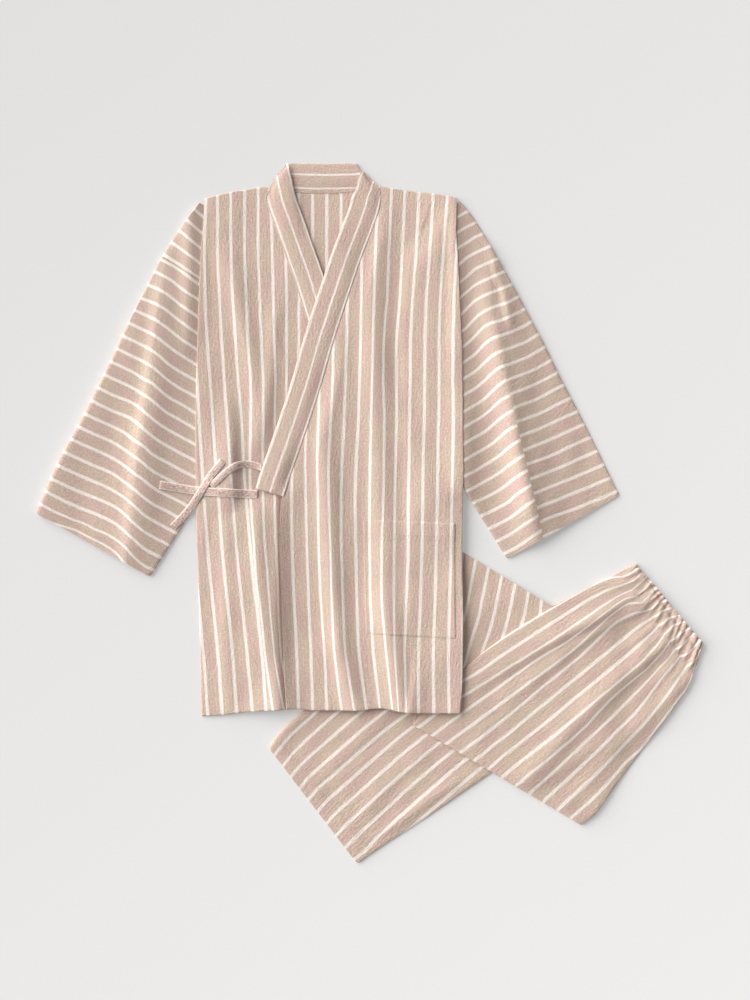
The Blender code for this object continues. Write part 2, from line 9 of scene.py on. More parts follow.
# %% Load the solids that the cloth follows
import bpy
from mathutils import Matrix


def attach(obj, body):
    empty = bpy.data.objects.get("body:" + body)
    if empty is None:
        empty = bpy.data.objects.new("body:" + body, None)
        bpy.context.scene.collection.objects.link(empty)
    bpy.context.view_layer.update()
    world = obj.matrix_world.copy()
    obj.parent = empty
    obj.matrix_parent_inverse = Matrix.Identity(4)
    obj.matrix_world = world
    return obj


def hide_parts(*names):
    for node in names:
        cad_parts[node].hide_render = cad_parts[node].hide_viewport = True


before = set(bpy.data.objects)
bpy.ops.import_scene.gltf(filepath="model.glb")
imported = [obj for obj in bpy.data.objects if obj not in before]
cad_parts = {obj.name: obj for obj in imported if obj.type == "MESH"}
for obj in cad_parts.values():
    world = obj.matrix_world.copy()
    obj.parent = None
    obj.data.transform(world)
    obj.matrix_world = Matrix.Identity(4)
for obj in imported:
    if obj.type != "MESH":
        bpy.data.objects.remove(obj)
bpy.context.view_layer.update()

# %% Bring in the tools
from collections import namedtuple
from math import cos, pi, radians, sin

import bpy
import numpy as np
from mathutils import Vector
from mathutils.bvhtree import BVHTree

MM = 0.001
print("numpy", np.__version__, "in Blender", bpy.app.version_string)

# %% [markdown]
# ## Camera
# Clothes that lie on a table are best seen from straight above.  A lens that is long for its distance
# keeps the thin layers from leaning outward.

# %% Point the camera straight down
CAMERA_HEIGHT = 3.0
VIEW_LENGTH = 1.456  # metres of table from the top of the view to its foot
VIEW_CENTRE = (0.0073, 0.0197)
SENSOR = 36.0

camera = bpy.data.objects.new("camera", bpy.data.cameras.new("camera"))
camera.location = (*VIEW_CENTRE, CAMERA_HEIGHT)
camera.data.sensor_fit = "VERTICAL"
camera.data.sensor_height = SENSOR
camera.data.sensor_width = SENSOR
camera.data.lens = SENSOR * CAMERA_HEIGHT / VIEW_LENGTH
bpy.context.scene.collection.objects.link(camera)
bpy.context.scene.camera = camera
print("lens", round(camera.data.lens, 1), "mm")

# %% [markdown]
# ## Measuring with tables
# A maker's chart gives an edge at a few places, and the edge runs smoothly between them.  `curve` reads
# such a chart anywhere, and `soft_line` rounds its corners, as cloth does.  NumPy works a whole panel
# out at once, which is far quicker than one point at a time.

# %% Read a chart between its rows
Point = namedtuple("Point", "x y")
Edges = namedtuple("Edges", "y left right")
Span = namedtuple("Span", "left_x left_y right_x right_y")


def blend(a, b, t):
    """The value at a share t of the way from a to b."""
    return a + (b - a) * t


def curve(points, at):
    """Height of a line of points at each place; its end stretches run on straight beyond it."""
    points = np.asarray(points, float)
    k = np.clip(np.searchsorted(points[:, 0], at) - 1, 0, len(points) - 2)
    t = (at - points[k, 0]) / (points[k + 1, 0] - points[k, 0])
    return blend(points[k, 1], points[k + 1, 1], t)


print("halfway between 10 and 20:", float(curve([(0, 10), (2, 20)], np.array(1.0))))


# %% Round a line's corners
def soft_line(points, spread=8.0, step=2.0):
    """The same line with rounded corners, as closely spaced points."""
    first, last = points[0][0], points[-1][0]
    margin = int(3 * spread / step)
    at = np.arange(first - margin * step, last + (margin + 1) * step, step)
    bell = np.exp(-0.5 * (np.arange(-margin, margin + 1) * step / spread) ** 2)
    soft = np.convolve(curve(points, at), bell / bell.sum(), "valid")
    return np.column_stack([at[margin:-margin], soft])


def path_length(points):
    """How far along a line of points each one lies."""
    return np.concatenate([[0], np.cumsum(np.hypot(*np.diff(points[:, :2], axis=0).T))])


corner = soft_line([(-50, 50), (0, 0), (50, 50)])
print("a sharp corner is rounded off by", round(float(corner[:, 1].min()), 1), "mm")


# %% Space points along a length
def steps(length, step, rims=(0, 0.5, 1.2, 2.5)):
    """Places from 0 to 1 along a length: evenly spaced, and closer together at both rims."""
    rims = np.array(rims, float)
    middle = np.linspace(rims[-1], length - rims[-1], max(int(round(length / step)), 2) + 1)
    return np.concatenate([rims[:-1], middle, length - rims[-2::-1]]) / length


print("points along 100 mm, 5 mm apart:", len(steps(100, 5)))

# %% [markdown]
# ## Folds and crinkles
# Cloth that was folded and laid down keeps soft ridges, each with one steep and one long flank, and all
# of it is a little uneven.  A long fold is given by its crest, which goes through points of x, y and
# height, and its left and right flanks have their own widths.  A short crease only needs its two ends.
# The unevenness is a sum of waves with seeded directions, so every run gives the same cloth.

# %% Long folds, given point by point
Fold = namedtuple("Fold", "crest left right")
CREST_SPREAD = 9  # how softly a crest bends
CREST_STEP = 6.0  # from one point of a softened crest to the next


def folds_at(x, y, folds):
    """Height of long folds; the left flank is on the left of someone who walks along the crest."""
    total = np.zeros_like(x)
    for fold in folds:
        crest = np.array(fold.crest, float)
        far = path_length(crest)
        crest = np.stack([soft_line(np.column_stack([far, values]), CREST_SPREAD, CREST_STEP)[:, 1]
                          for values in crest.T], -1)
        nearest, height = np.full_like(x, np.inf), np.zeros_like(x)
        for (x0, y0, h0), (x1, y1, h1) in zip(crest[:-1], crest[1:]):
            run_x, run_y = x1 - x0, y1 - y0
            t = np.clip(((x - x0) * run_x + (y - y0) * run_y) / (run_x ** 2 + run_y ** 2), 0, 1)
            away_x, away_y = x - x0 - t * run_x, y - y0 - t * run_y
            flank = np.where(run_x * away_y - run_y * away_x > 0, fold.left, fold.right)
            off = (away_x ** 2 + away_y ** 2) / flank ** 2
            height = np.where(off < nearest, blend(h0, h1, t), height)
            nearest = np.minimum(nearest, off)
        total += height * np.exp(-nearest)
    return total


sample = folds_at(np.array([0.0, 10.0]), np.array([50.0, 50.0]), [Fold([(0, 0, 3), (0, 100, 3)], 10, 10)])
print("a 3 mm fold, on its crest and one flank's width away:", sample.round(1))

# %% Short creases
Ridge = namedtuple("Ridge", "x0 y0 x1 y1 left right height")
CREASE_SHARPNESS = 1.5  # 2 is a round bell, and 1 a sharp edge
CREASE_FADE = 0.6  # how slowly a crease rises from its ends


def ridges_at(x, y, ridges):
    """Height of soft creases, or of troughs where the height is negative."""
    total = np.zeros_like(x)
    for r in ridges:
        run_x, run_y = r.x1 - r.x0, r.y1 - r.y0
        length = np.hypot(run_x, run_y)
        t = np.clip(((x - r.x0) * run_x + (y - r.y0) * run_y) / length ** 2, 0, 1)
        off = (run_x * (y - r.y0) - run_y * (x - r.x0)) / length
        flank = np.where(off > 0, r.left, r.right)
        across = np.exp(-np.abs(off / flank) ** CREASE_SHARPNESS)
        total += r.height * np.sin(pi * t) ** CREASE_FADE * across
    return total


sample = ridges_at(np.array([0.0]), np.array([50.0]), [Ridge(0, 0, 0, 100, 8, 8, 0.8)])
print("middle of a crease:", sample.round(2), "mm")

# %% Seeded unevenness
MOSTLY_UP = 1.2  # lifts the waves, so that few of them dip below the flat cloth


def rumple(x, y, across, along, seed, waves=26):
    """Smooth unevenness of about one unit, its humps about `across` wide and `along` long."""
    draw = np.random.default_rng(seed)
    total = np.zeros_like(x)
    for _ in range(waves):
        wave_x, wave_y = draw.normal() / across, draw.normal() / along
        total += np.sin(wave_x * x + wave_y * y + draw.uniform(0, 2 * pi))
    return total / np.sqrt(waves / 2)


def crinkled(x, y, across, along, seed, height=0.3):
    """Fine unevenness of cloth that lies on something flat."""
    return height * (rumple(x, y, across, along, seed) + MOSTLY_UP)


sample = rumple(np.linspace(0, 500, 400), np.zeros(400), 20, 60, seed=1)
print("unevenness from", round(sample.min(), 2), "to", round(sample.max(), 2))

# %% [markdown]
# ## How the layers stack
# The set lies in layers: the lower leg, the upper leg whose end is turned back under it, the jacket's
# back, its sleeves, its right front and on top its left front.  Each layer rises a few millimetres where
# something is below it, and comes down again a hand's breadth outside.  These rises are the same as in
# the solids, so the cloth lies where they lie.

# %% Sizes of the cloth
CLOTH = 1.2  # wall of the cotton, with its crinkle
BAND = 1.8  # collar band, doubled cloth
SEAM = 0.3  # clearance at seams and between flat layers
EASE = 0.9  # clearance between layers that bend together
TUBE = 2 * CLOTH + SEAM  # a sleeve or leg pressed flat
LAYER = TUBE + SEAM  # one flat tube and its clearance
FRONT_UNDER = CLOTH + EASE  # underside of a front that lies on the back
OVERLAP_STEP = BAND + EASE  # rise of the left front where it crosses the right one
SLEEVE_STEP = TUBE + EASE - FRONT_UNDER  # rise of a front over the tucked edge of a sleeve
COLLAR_WIDTH = 41
COLLAR_END = 25  # how far up the set the collar's free ends lie
COLLAR_FADE = 60  # the collar stops lifting the left front this far below its end

# How far a rise spreads beyond the edge that causes it
Spread = namedtuple("Spread", "keep ramp")
LEG_SPREAD = Spread(32, 45)  # the upper leg over the lower one
JACKET_SPREAD = Spread(42, 80)  # the jacket over the trousers
OVERLAP_SPREAD = Spread(30, 50)  # the left front over the right one
TUCK_SPREAD = Spread(22, 45)  # a front over a sleeve
print("one flat layer of trousers is", LAYER, "mm high")

# %% Outlines of the jacket's body
BODY_TOP = 458
BODY_HEM = -287
SHOULDER_LINE = [Point(-241, 458), Point(-204, 467), Point(-151, 476), Point(-143, 468), Point(1, 468),
                 Point(8, 477), Point(44, 471), Point(95, 465), Point(127, 459)]
HEM_LINE = [Point(-245, -295), Point(-211, -293), Point(-189, -289), Point(-131, -285),
            Point(-105, -283), Point(-90, -286), Point(-15, -286), Point(7, -283), Point(22, -282),
            Point(36, -286), Point(51, -289), Point(131, -290)]
BACK_EDGES = [Edges(458, -236, 119), Edges(40, -236, 119), Edges(20, -236, 121), Edges(-5, -252, 133),
              Edges(-68, -250, 133), Edges(-155, -247, 134), Edges(-287, -243, 130)]
RIGHT_FRONT_EDGES = [Edges(480, -240, -141), Edges(458, -240, -153), Edges(445, -241, -146),
                     Edges(416, -243, -135), Edges(378, -246, -122), Edges(334, -248, -106),
                     Edges(279, -250, -89), Edges(209, -252, -63), Edges(122, -254, -29),
                     Edges(25, -253, 9), Edges(-39, -252, 13), Edges(-155, -248, 13), Edges(-287, -245, 9)]
LEFT_FRONT_EDGES = [Edges(480, 8, 127), Edges(458, 16, 127), Edges(437, 10, 126), Edges(407, -1, 125),
                    Edges(372, -15, 128), Edges(330, -29, 130), Edges(285, -44, 132), Edges(244, -57, 134),
                    Edges(177, -76, 135), Edges(111, -98, 135), Edges(66, -114, 136), Edges(25, -128, 135),
                    Edges(-9, -131, 134), Edges(-68, -130, 134), Edges(-155, -127, 135),
                    Edges(-242, -124, 134), Edges(-287, -121, 131)]


def side_edges(rows, spread=8.0):
    """Left and right edge of a panel as soft lines over its height."""
    upward = rows[::-1]
    return [soft_line([(row.y, getattr(row, side)) for row in upward], spread) for side in ("left", "right")]


BACK_SIDES = side_edges(BACK_EDGES, 4.0)
RIGHT_SIDES = side_edges(RIGHT_FRONT_EDGES)
LEFT_SIDES = side_edges(LEFT_FRONT_EDGES)
print("right front at the chest:", [round(float(curve(side, 200.0))) for side in RIGHT_SIDES])

# %% Outlines of the trousers
UPPER_LEG = [Span(362.9, -84.8, 470.3, -234.4), Span(351, -91.4, 462.6, -257), Span(335, -98, 456, -264),
             Span(316, -109, 447, -277), Span(284, -126, 432, -298), Span(248, -146, 415, -320),
             Span(211, -168, 397, -343), Span(175, -193, 379, -367), Span(143, -218, 360, -392),
             Span(106, -257, 342, -418), Span(79, -286, 327, -440), Span(63, -305, 309, -451)]
TURNED_LEG = [Span(71, -265, 307.3, -405), Span(83, -210, 305, -342), Span(96, -155, 302.6, -279),
              Span(108, -98, 300.2, -214), Span(119, -46, 298, -155)]
LOWER_LEG = [Span(-147, -341, -18, -510), Span(-139, -328, -1, -497), Span(-130, -316, 29, -477),
             Span(-106, -293, 87, -440), Span(-58, -257, 146, -398), Span(15, -213, 204, -359),
             Span(102, -184, 277, -323), Span(204, -162, 364, -285), Span(291, -123, 422, -262),
             Span(350.6, -92, 462, -257.6), Span(362.9, -84.8, 470.3, -234.4)]
LOWER_LEG_UPPER_EDGE = [Point(-147, -341), Point(-98, -285), Point(-44, -242), Point(44, -202),
                        Point(135, -184), Point(204, -162), Point(291, -123), Point(387, -72)]
LOWER_LEG_LOWER_EDGE = [Point(-19, -509), Point(87, -440), Point(167, -379), Point(277, -323),
                        Point(364, -279), Point(466, -257)]
UPPER_LEG_UPPER_EDGE = [Point(51, -400), Point(63, -305), Point(135, -225), Point(266, -135),
                        Point(387, -72)]
TURNED_HEM = [Point(119, -46), Point(298, -155)]
TURNED_LEFT_EDGE = [Point(-305, 63), Point(-46, 119)]  # place along y, then x
TURNED_RIGHT_EDGE = [Point(-451, 309), Point(-155, 298)]  # as above
print("leg rows:", len(UPPER_LEG), "on top,", len(TURNED_LEG), "turned under,", len(LOWER_LEG), "below")


# %% Rise of the trousers' layers
def eased(t):
    """From 0 to 1 with a soft start and a soft end."""
    return t * t * (3 - 2 * t)


def fade(outside, spread):
    """1 up to spread.keep outside an edge, then easing to 0 over spread.ramp."""
    return 1 - eased(np.clip((outside - spread.keep) / spread.ramp, 0, 1))


def lower_leg_under(x, y, spread):
    return fade(y - curve(LOWER_LEG_UPPER_EDGE, x), spread) * fade(curve(LOWER_LEG_LOWER_EDGE, x) - y, spread)


def turned_leg_under(x, y, spread):
    left = fade(curve(TURNED_LEFT_EDGE, y) - x, spread)
    right = fade(x - curve(TURNED_RIGHT_EDGE, y), spread)
    return fade(y - curve(TURNED_HEM, x), spread) * left * right


def ground(x, y):
    """What the upper leg lies on: the table, or the lower leg."""
    return LAYER * lower_leg_under(x, y, LEG_SPREAD)


spot = np.array([150.0]), np.array([-300.0])
print("the upper leg crosses the lower one", round(float(ground(*spot)[0]), 1), "mm up")


# %% Rise of the jacket's layers
def trousers_under(x, y):
    """Underside of the jacket: the table, or the trousers that it lies on."""
    lower = fade(y - curve(LOWER_LEG_UPPER_EDGE, x), JACKET_SPREAD)
    upper = fade(y - curve(UPPER_LEG_UPPER_EDGE, x), JACKET_SPREAD)
    return LAYER * (lower + turned_leg_under(x, y, JACKET_SPREAD) + upper)


def over_sleeve(x, y):
    """1 where a front rides over the tucked edge of a sleeve."""
    right = fade(x - BACK_EDGES[0].left, TUCK_SPREAD)
    left = fade(BACK_EDGES[0].right - x, TUCK_SPREAD)
    return np.maximum(right, left) * fade(-y, TUCK_SPREAD)


def right_front_level(x, y):
    return trousers_under(x, y) + FRONT_UNDER + SLEEVE_STEP * over_sleeve(x, y)


def left_front_level(x, y):
    collar = COLLAR_WIDTH * np.clip((y - COLLAR_END + COLLAR_FADE) / COLLAR_FADE, 0, 1)
    crossing = fade(x - (curve(RIGHT_SIDES[1], y) + collar), OVERLAP_SPREAD)
    return trousers_under(x, y) + FRONT_UNDER + OVERLAP_STEP * crossing + SLEEVE_STEP * over_sleeve(x, y)


spot = np.array([100.0]), np.array([-250.0])
print("left front over the trousers:", round(float(left_front_level(*spot)[0]), 1), "mm up")

# %% [markdown]
# ## Counting stripes
# The stripes are woven into the cotton, so they show how the cloth was cut and where it is folded: they
# run up the body, across the sleeves and down the legs, and they crowd together at a fold.  A chart
# gives where each stripe crosses a few lines.  Each stripe is a soft line through its marks, and the
# stripe count at any point is read between those lines.  The count goes into the UV map, so the
# material only has to draw a pale line at each whole number.

# %% Read the stripe count between charted lines
Stripes = namedtuple("Stripes", "line first places")
STRIPE_PITCH = 20.4  # from one pale stripe to the next
STRIPE_SPREAD = 0.2  # how softly a stripe bends, as a share of the way between two rows
STRIPE_STEP = 0.05  # from one point of it to the next, as such a share
LEAST_APART = 0.05  # two stripes never come closer than this share of the pitch


def stripe_line(chart, k, v, pitch):
    """Where stripe k runs at v: a soft line through its place in each row."""
    marks = []
    for row in chart:
        known = min(max(k - row.first, 0), len(row.places) - 1)
        marks.append((row.line, row.places[known] + (k - row.first - known) * pitch))
    if len(marks) == 1:
        return 0 * v + marks[0][1]
    apart = (marks[-1][0] - marks[0][0]) / (len(marks) - 1)
    return curve(soft_line(marks, apart * STRIPE_SPREAD, apart * STRIPE_STEP), v)


def charted(u, v, chart, pitch=STRIPE_PITCH):
    """Stripe count at u, v, from rows that each cross the stripes at one value of v."""
    chart = sorted(chart, key=lambda row: row.line)
    first = min(row.first for row in chart)
    last = max(row.first + len(row.places) - 1 for row in chart)
    before = stripe_line(chart, first, v, pitch)
    total = first + np.minimum(u - before, 0) / pitch
    for k in range(first + 1, last + 1):
        after = stripe_line(chart, k, v, pitch)
        total = total + np.clip((u - before) / np.maximum(after - before, LEAST_APART * pitch), 0, 1)
        before = after
    return total + np.maximum(u - before, 0) / pitch


demo = [Stripes(0, 0, [0, 20, 40]), Stripes(10, 0, [0, 10, 20])]
print("stripe count halfway:", round(float(charted(np.array([20.0]), np.array([5.0]), demo, 20)[0]), 2))

# %% [markdown]
# Where stripes bend both ways, as on a sleeve, a thin springy plate is bent through their marks.

# %% Bend a thin plate through scattered marks
Mark = namedtuple("Mark", "count x y")
PLATE_UNIT = 100  # the plate is worked out in units of 100 mm, which keeps numbers small
PLATE_STIFFNESS = 0.004  # 0 goes through every mark, and more evens out their errors
NEVER_ZERO = 1e-12  # keeps the logarithm finite at a mark


def marks_of(chart):
    """The marks of a chart whose lines are at one x each, with the stripes' places along y."""
    return [Mark(row.first + k, row.line, y) for row in chart for k, y in enumerate(row.places)]


def plate(x, y, marks, stiff=PLATE_STIFFNESS):
    """Count at each point from a thin plate bent through marks."""
    at = np.array([(m.x, m.y) for m in marks], float) / PLATE_UNIT
    count = np.array([m.count for m in marks], float)

    def bend(u, v):
        far = (u[:, None] - at[:, 0]) ** 2 + (v[:, None] - at[:, 1]) ** 2
        return far * np.log(far + NEVER_ZERO)

    n = len(marks)
    flat = np.column_stack([np.ones(n), at])
    system = np.zeros((n + 3, n + 3))
    system[:n, :n] = bend(at[:, 0], at[:, 1]) + stiff * np.eye(n)
    system[:n, n:], system[n:, :n] = flat, flat.T
    weights = np.linalg.solve(system, np.concatenate([count, np.zeros(3)]))
    u, v = x.ravel() / PLATE_UNIT, y.ravel() / PLATE_UNIT
    tilted = np.column_stack([np.ones(len(u)), u, v]) @ weights[n:]
    return (bend(u, v) @ weights[:n] + tilted).reshape(x.shape)


demo = [Mark(0, 0, 0), Mark(1, 20, 0), Mark(0, 0, 50), Mark(1, 20, 50)]
print("plate halfway:", round(float(plate(np.array([10.0]), np.array([25.0]), demo)[0]), 2))

# %% [markdown]
# Where a fold laps over, some cloth is hidden and the count jumps.  There a second map holds the count
# beyond the lap and the distance to it, so that the jump is drawn as a clean edge.


# %% Count on both sides of a lap
def lapped(u, v, chart, pitch, k):
    """Count on this side of a lap between stripes k and k + 1, count beyond it, and how far beyond."""
    chart = sorted(chart, key=lambda row: row.line)
    near = [Stripes(row.line, row.first, row.places[:k + 1 - row.first]) for row in chart]
    far = [Stripes(row.line, k + 1, row.places[k + 1 - row.first:]) for row in chart]
    lap = (stripe_line(chart, k, v, pitch) + stripe_line(chart, k + 1, v, pitch)) / 2
    return charted(u, v, near, pitch), charted(u, v, far, pitch), u - lap


demo = [Stripes(0, 0, [0, 20, 30, 50]), Stripes(10, 0, [0, 20, 30, 50])]
near, beyond, side = lapped(np.array([25.0]), np.array([5.0]), demo, 20, 1)
print("at a lap that hides half a stripe's pitch, the count jumps by", float((beyond - near)[0]))

# %% [markdown]
# ## Making cloth
# Real cotton has two faces and an edge, so a sheet is a closed mesh: an underside, a top and a rim that
# rounds over.  Sleeves and legs are closed tubes with a wall.  Both come from grids of points worked out
# above, so their stripes, folds and edges share the same rows and columns.  Every piece is kept in
# `LAID`, and the next one is lifted clear of it, as a hand lays one layer of a garment on another.

# %% Turn points and faces into a piece of cloth
LAID = []  # what already lies there, as trees to look down on
SHARP = radians(60)  # an edge is drawn sharp where its faces turn by more than this


def outward(points, faces):
    """The faces turned so that their normals point out of the closed piece."""
    a, b, c, d = (points[faces[:, k]] for k in range(4))
    middle = points.mean(0)
    volume = np.einsum("ij,ij->i", a - middle, np.cross(b - middle, c - middle))
    volume += np.einsum("ij,ij->i", a - middle, np.cross(c - middle, d - middle))
    return faces if volume.sum() > 0 else faces[:, ::-1]


def add_mesh(name, points, faces, finish):
    """An object with smooth faces, from points in millimetres."""
    mesh = bpy.data.meshes.new(name)
    mesh.from_pydata((points * MM).tolist(), [], faces.tolist())
    mesh.shade_smooth()
    mesh.materials.append(finish)
    made = bpy.data.objects.new(name, mesh)
    bpy.context.scene.collection.objects.link(made)
    return made


def add_piece(name, points, faces, uv, finish):
    """A piece that rides on the set; uv has 2 columns, or 4 where the cloth laps over."""
    made = add_mesh(name, points, faces, finish)
    mesh = made.data
    corner = np.empty(len(mesh.loops), np.int32)
    mesh.loops.foreach_get("vertex_index", corner)
    no_lap = np.column_stack([uv[:, 0], 0 * uv[:, 0] - 1])
    beyond = uv[:, 2:] if uv.shape[1] == 4 else no_lap
    for layer, values in (("stripe", uv[:, :2]), ("beyond_lap", beyond)):
        mesh.uv_layers.new(name=layer).data.foreach_set("uv", values[corner].astype(np.float32).ravel())
    mesh.set_sharp_from_angle(angle=SHARP)
    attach(made, "root")
    LAID.append(BVHTree.FromPolygons(points.tolist(), faces.tolist()))
    print(name, "has", 2 * len(faces), "triangles, up to", round(float(points[:, 2].max()), 1), "mm")
    return made


print("edges are drawn sharp from", round(SHARP, 2), "radians")

# %% A closed sheet from a grid
FULL_RIM = (0.35, 0.8, 1.0)  # thickness at the outermost points, where the edge rounds over


def rim_factor(shape):
    """How much of the full thickness each point of a grid has."""
    factor = np.ones(shape)
    for k, share in enumerate(FULL_RIM):
        for edge in (factor[k, :], factor[-1 - k, :], factor[:, k], factor[:, -1 - k]):
            np.minimum(edge, share, out=edge)
    return factor


def add_sheet(name, x, y, under, thick, uv, finish):
    """A closed sheet over a grid; uv holds the stripe count and the place along the stripe."""
    rows, columns = x.shape
    thick = thick * rim_factor(x.shape)
    low, high = np.stack([x, y, under], -1), np.stack([x, y, under + thick], -1)
    points = np.concatenate([low.reshape(-1, 3), high.reshape(-1, 3)])
    k = np.arange(rows * columns).reshape(rows, columns)
    lower = np.stack([k[:-1, :-1], k[:-1, 1:], k[1:, 1:], k[1:, :-1]], -1).reshape(-1, 4)
    rim = np.concatenate([k[:, 0], k[-1, 1:], k[-2::-1, -1], k[0, -2:0:-1]])
    after, top = np.roll(rim, -1), rows * columns
    sides = np.stack([rim, after, top + after, top + rim], -1)
    faces = np.concatenate([lower, top + lower[:, ::-1], sides])
    both = np.concatenate([uv.reshape(rows * columns, -1)] * 2)
    return add_piece(name, points, outward(points, faces), both, finish)


print("edges round over in", len(FULL_RIM), "steps")


# %% A tube from two loops
def add_tube(name, outer, inner, uv, finish):
    """A wall between matching closed loops, open at both ends; arrays of rows, around, 3."""
    rows, around = outer.shape[:2]
    points = np.concatenate([outer.reshape(-1, 3), inner.reshape(-1, 3)])
    k = np.arange(rows * around).reshape(rows, around)
    n, second = np.roll(k, -1, axis=1), rows * around
    wall = np.stack([k[:-1], n[:-1], n[1:], k[1:]], -1).reshape(-1, 4)
    first = np.stack([n[0], k[0], second + k[0], second + n[0]], -1)
    last = np.stack([k[-1], n[-1], second + n[-1], second + k[-1]], -1)
    faces = np.concatenate([wall, second + wall[:, ::-1], first, last])
    both = np.concatenate([uv.reshape(rows * around, -1)] * 2)
    return add_piece(name, points, outward(points, faces), both, finish)


print("pieces laid so far:", len(LAID))


# %% Even out a grid of heights
def neighbours(values, axis, reach):
    """The grid moved each way along one axis, by up to `reach` points; its edges stay as they are."""
    padded = np.pad(values, [(reach, reach) if k == axis else (0, 0) for k in (0, 1)], "edge")
    count = values.shape[axis]
    return [np.take(padded, range(k, k + count), axis) for k in range(2 * reach + 1)]


def blurred(values, rounds):
    """Each value averaged with its neighbours in the grid."""
    for _ in range(rounds):
        for axis in (0, 1):
            before, same, after = neighbours(values, axis, 1)
            values = before / 4 + same / 2 + after / 4
    return values


def widened(values, reach):
    """Each value raised to the highest of its neighbours in the grid."""
    for axis in (0, 1):
        values = np.max(neighbours(values, axis, reach), axis=0)
    return values


print("one peak widened by a point each way:", widened(np.eye(1, 7, 3), 1)[0])

# %% Look down on what is laid, and lift a layer clear of it
GAP = 0.25  # least clearance between two layers
LOOK_FROM = 60.0  # higher than anything laid


def height_below(x, y, trees=None):
    """Highest point of the laid pieces under each place, and -1 where there is none."""
    trees = LAID if trees is None else trees
    found = np.full(x.size, -1.0)
    for k, (px, py) in enumerate(zip(x.ravel().tolist(), y.ravel().tolist())):
        for tree in trees:
            hit = tree.ray_cast((px, py, LOOK_FROM), (0, 0, -1))[0]
            if hit is not None and hit[2] > found[k]:
                found[k] = hit[2]
    return found.reshape(x.shape)


def laid_over(x, y, under, trees=None, reach=2):
    """The underside of a layer, lifted softly where it would touch what is below."""
    needed = height_below(x, y, trees) + GAP
    lift = np.maximum(needed - under, 0)
    settled = np.maximum(under + blurred(widened(lift, reach), 2 * reach), needed)
    print("  lifted by up to", round(float(lift.max()), 2), "mm")
    return settled


print("height of the bare table:", float(height_below(np.zeros(1), np.zeros(1))[0]))

# %% [markdown]
# ## The crinkled cotton
# Yarns of several tints are woven together, so the ground is a melange of pinkish, sandy and greenish
# beige with fine lengthwise streaks, and the pale stripes have soft edges where their yarns mix with the
# ground.  The cloth is slightly crinkled along the stripes, and matt with a little nap.  All of this is
# drawn by nodes from the stripe map, in real sizes.

# %% A small helper to wire shader nodes
VIEW = bpy.context.scene.view_settings
VIEW.view_transform = "Standard"

# Size of a noise's grains in metres, and how finely they are broken up
Grain = namedtuple("Grain", "across along detail rough", defaults=[0.5])


class Wiring:
    """Adds nodes to one material and joins them."""

    def __init__(self, name):
        self.material = bpy.data.materials.new(name)
        self.material.use_nodes = True
        self.tree = self.material.node_tree
        self.shader = self.tree.nodes["Principled BSDF"]

    def join(self, value, socket):
        if isinstance(value, bpy.types.NodeSocket):
            self.tree.links.new(value, socket)
        else:
            socket.default_value = value

    def node(self, kind, *values, out=0, **settings):
        made = self.tree.nodes.new("ShaderNode" + kind)
        for key, value in settings.items():
            setattr(made, key, value)
        for socket, value in zip(made.inputs, values):
            self.join(value, socket)
        return made.outputs[out]

    def math(self, operation, *values):
        return self.node("Math", *values, operation=operation)

    def parts(self, vector):
        """The x, y and z of a vector, as three sockets."""
        made = self.tree.nodes.new("ShaderNodeSeparateXYZ")
        self.join(vector, made.inputs[0])
        return made.outputs

    def noise(self, place, grain, larger=1.0):
        per_metre = 1 / (grain.across * larger), 1 / (grain.along * larger), 1
        made = self.tree.nodes.new("ShaderNodeTexNoise")
        self.join(self.node("VectorMath", place, per_metre, operation="MULTIPLY"), made.inputs["Vector"])
        made.inputs["Scale"].default_value = 1.0
        made.inputs["Detail"].default_value = grain.detail
        made.inputs["Roughness"].default_value = grain.rough
        return made.outputs["Fac"]

    def ramp(self, value, low, high, to_low=0.0, to_high=1.0, smooth=True):
        made = self.tree.nodes.new("ShaderNodeMapRange")
        made.interpolation_type = "SMOOTHSTEP" if smooth else "LINEAR"
        for socket, v in zip(made.inputs, (value, low, high, to_low, to_high)):
            self.join(v, socket)
        return made.outputs[0]

    def mix(self, share, first, second):
        return self.node("MixRGB", share, first, second)


print("colours are shown as", VIEW.view_transform)

# %% Place on the woven cloth, and share of pale yarn
WANDER = Grain(0.02, 0.03, 2.0)  # a stripe's edge wanders over two or three centimetres
WANDERING = 0.05  # by up to this share of the pitch, either way together
FRAYING = 0.05  # and single yarns cross it by as much


def woven_place(w):
    """The stripe count, with its jump at a lap, and the place on the flat cloth in metres."""
    stripe = w.parts(w.node("UVMap", uv_map="stripe"))
    lap = w.parts(w.node("UVMap", uv_map="beyond_lap"))
    over = w.math("GREATER_THAN", lap[1], 0.0)
    jump = w.math("MULTIPLY", w.math("SUBTRACT", lap[0], stripe[0]), over)
    count = w.math("ADD", stripe[0], jump)
    return count, w.node("CombineXYZ", w.math("MULTIPLY", count, STRIPE_PITCH * MM), stripe[1], 0.0)


def pale_share(w, count, place, thread, half_width, edge):
    """1 on a pale stripe and 0 beside it, with soft and frayed edges."""
    wobble = w.math("MULTIPLY", w.math("SUBTRACT", w.noise(place, WANDER), 0.5), WANDERING)
    fray = w.math("MULTIPLY", w.math("SUBTRACT", thread, 0.5), FRAYING)
    shifted = w.math("ADD", w.math("ADD", count, wobble), 0.5)
    off = w.math("ADD", w.math("ABSOLUTE", w.math("SUBTRACT", w.math("FRACT", shifted), 0.5)), fray)
    return w.ramp(off, half_width - edge, half_width + edge, 1.0, 0.0)


print("stripe pitch", STRIPE_PITCH, "mm")

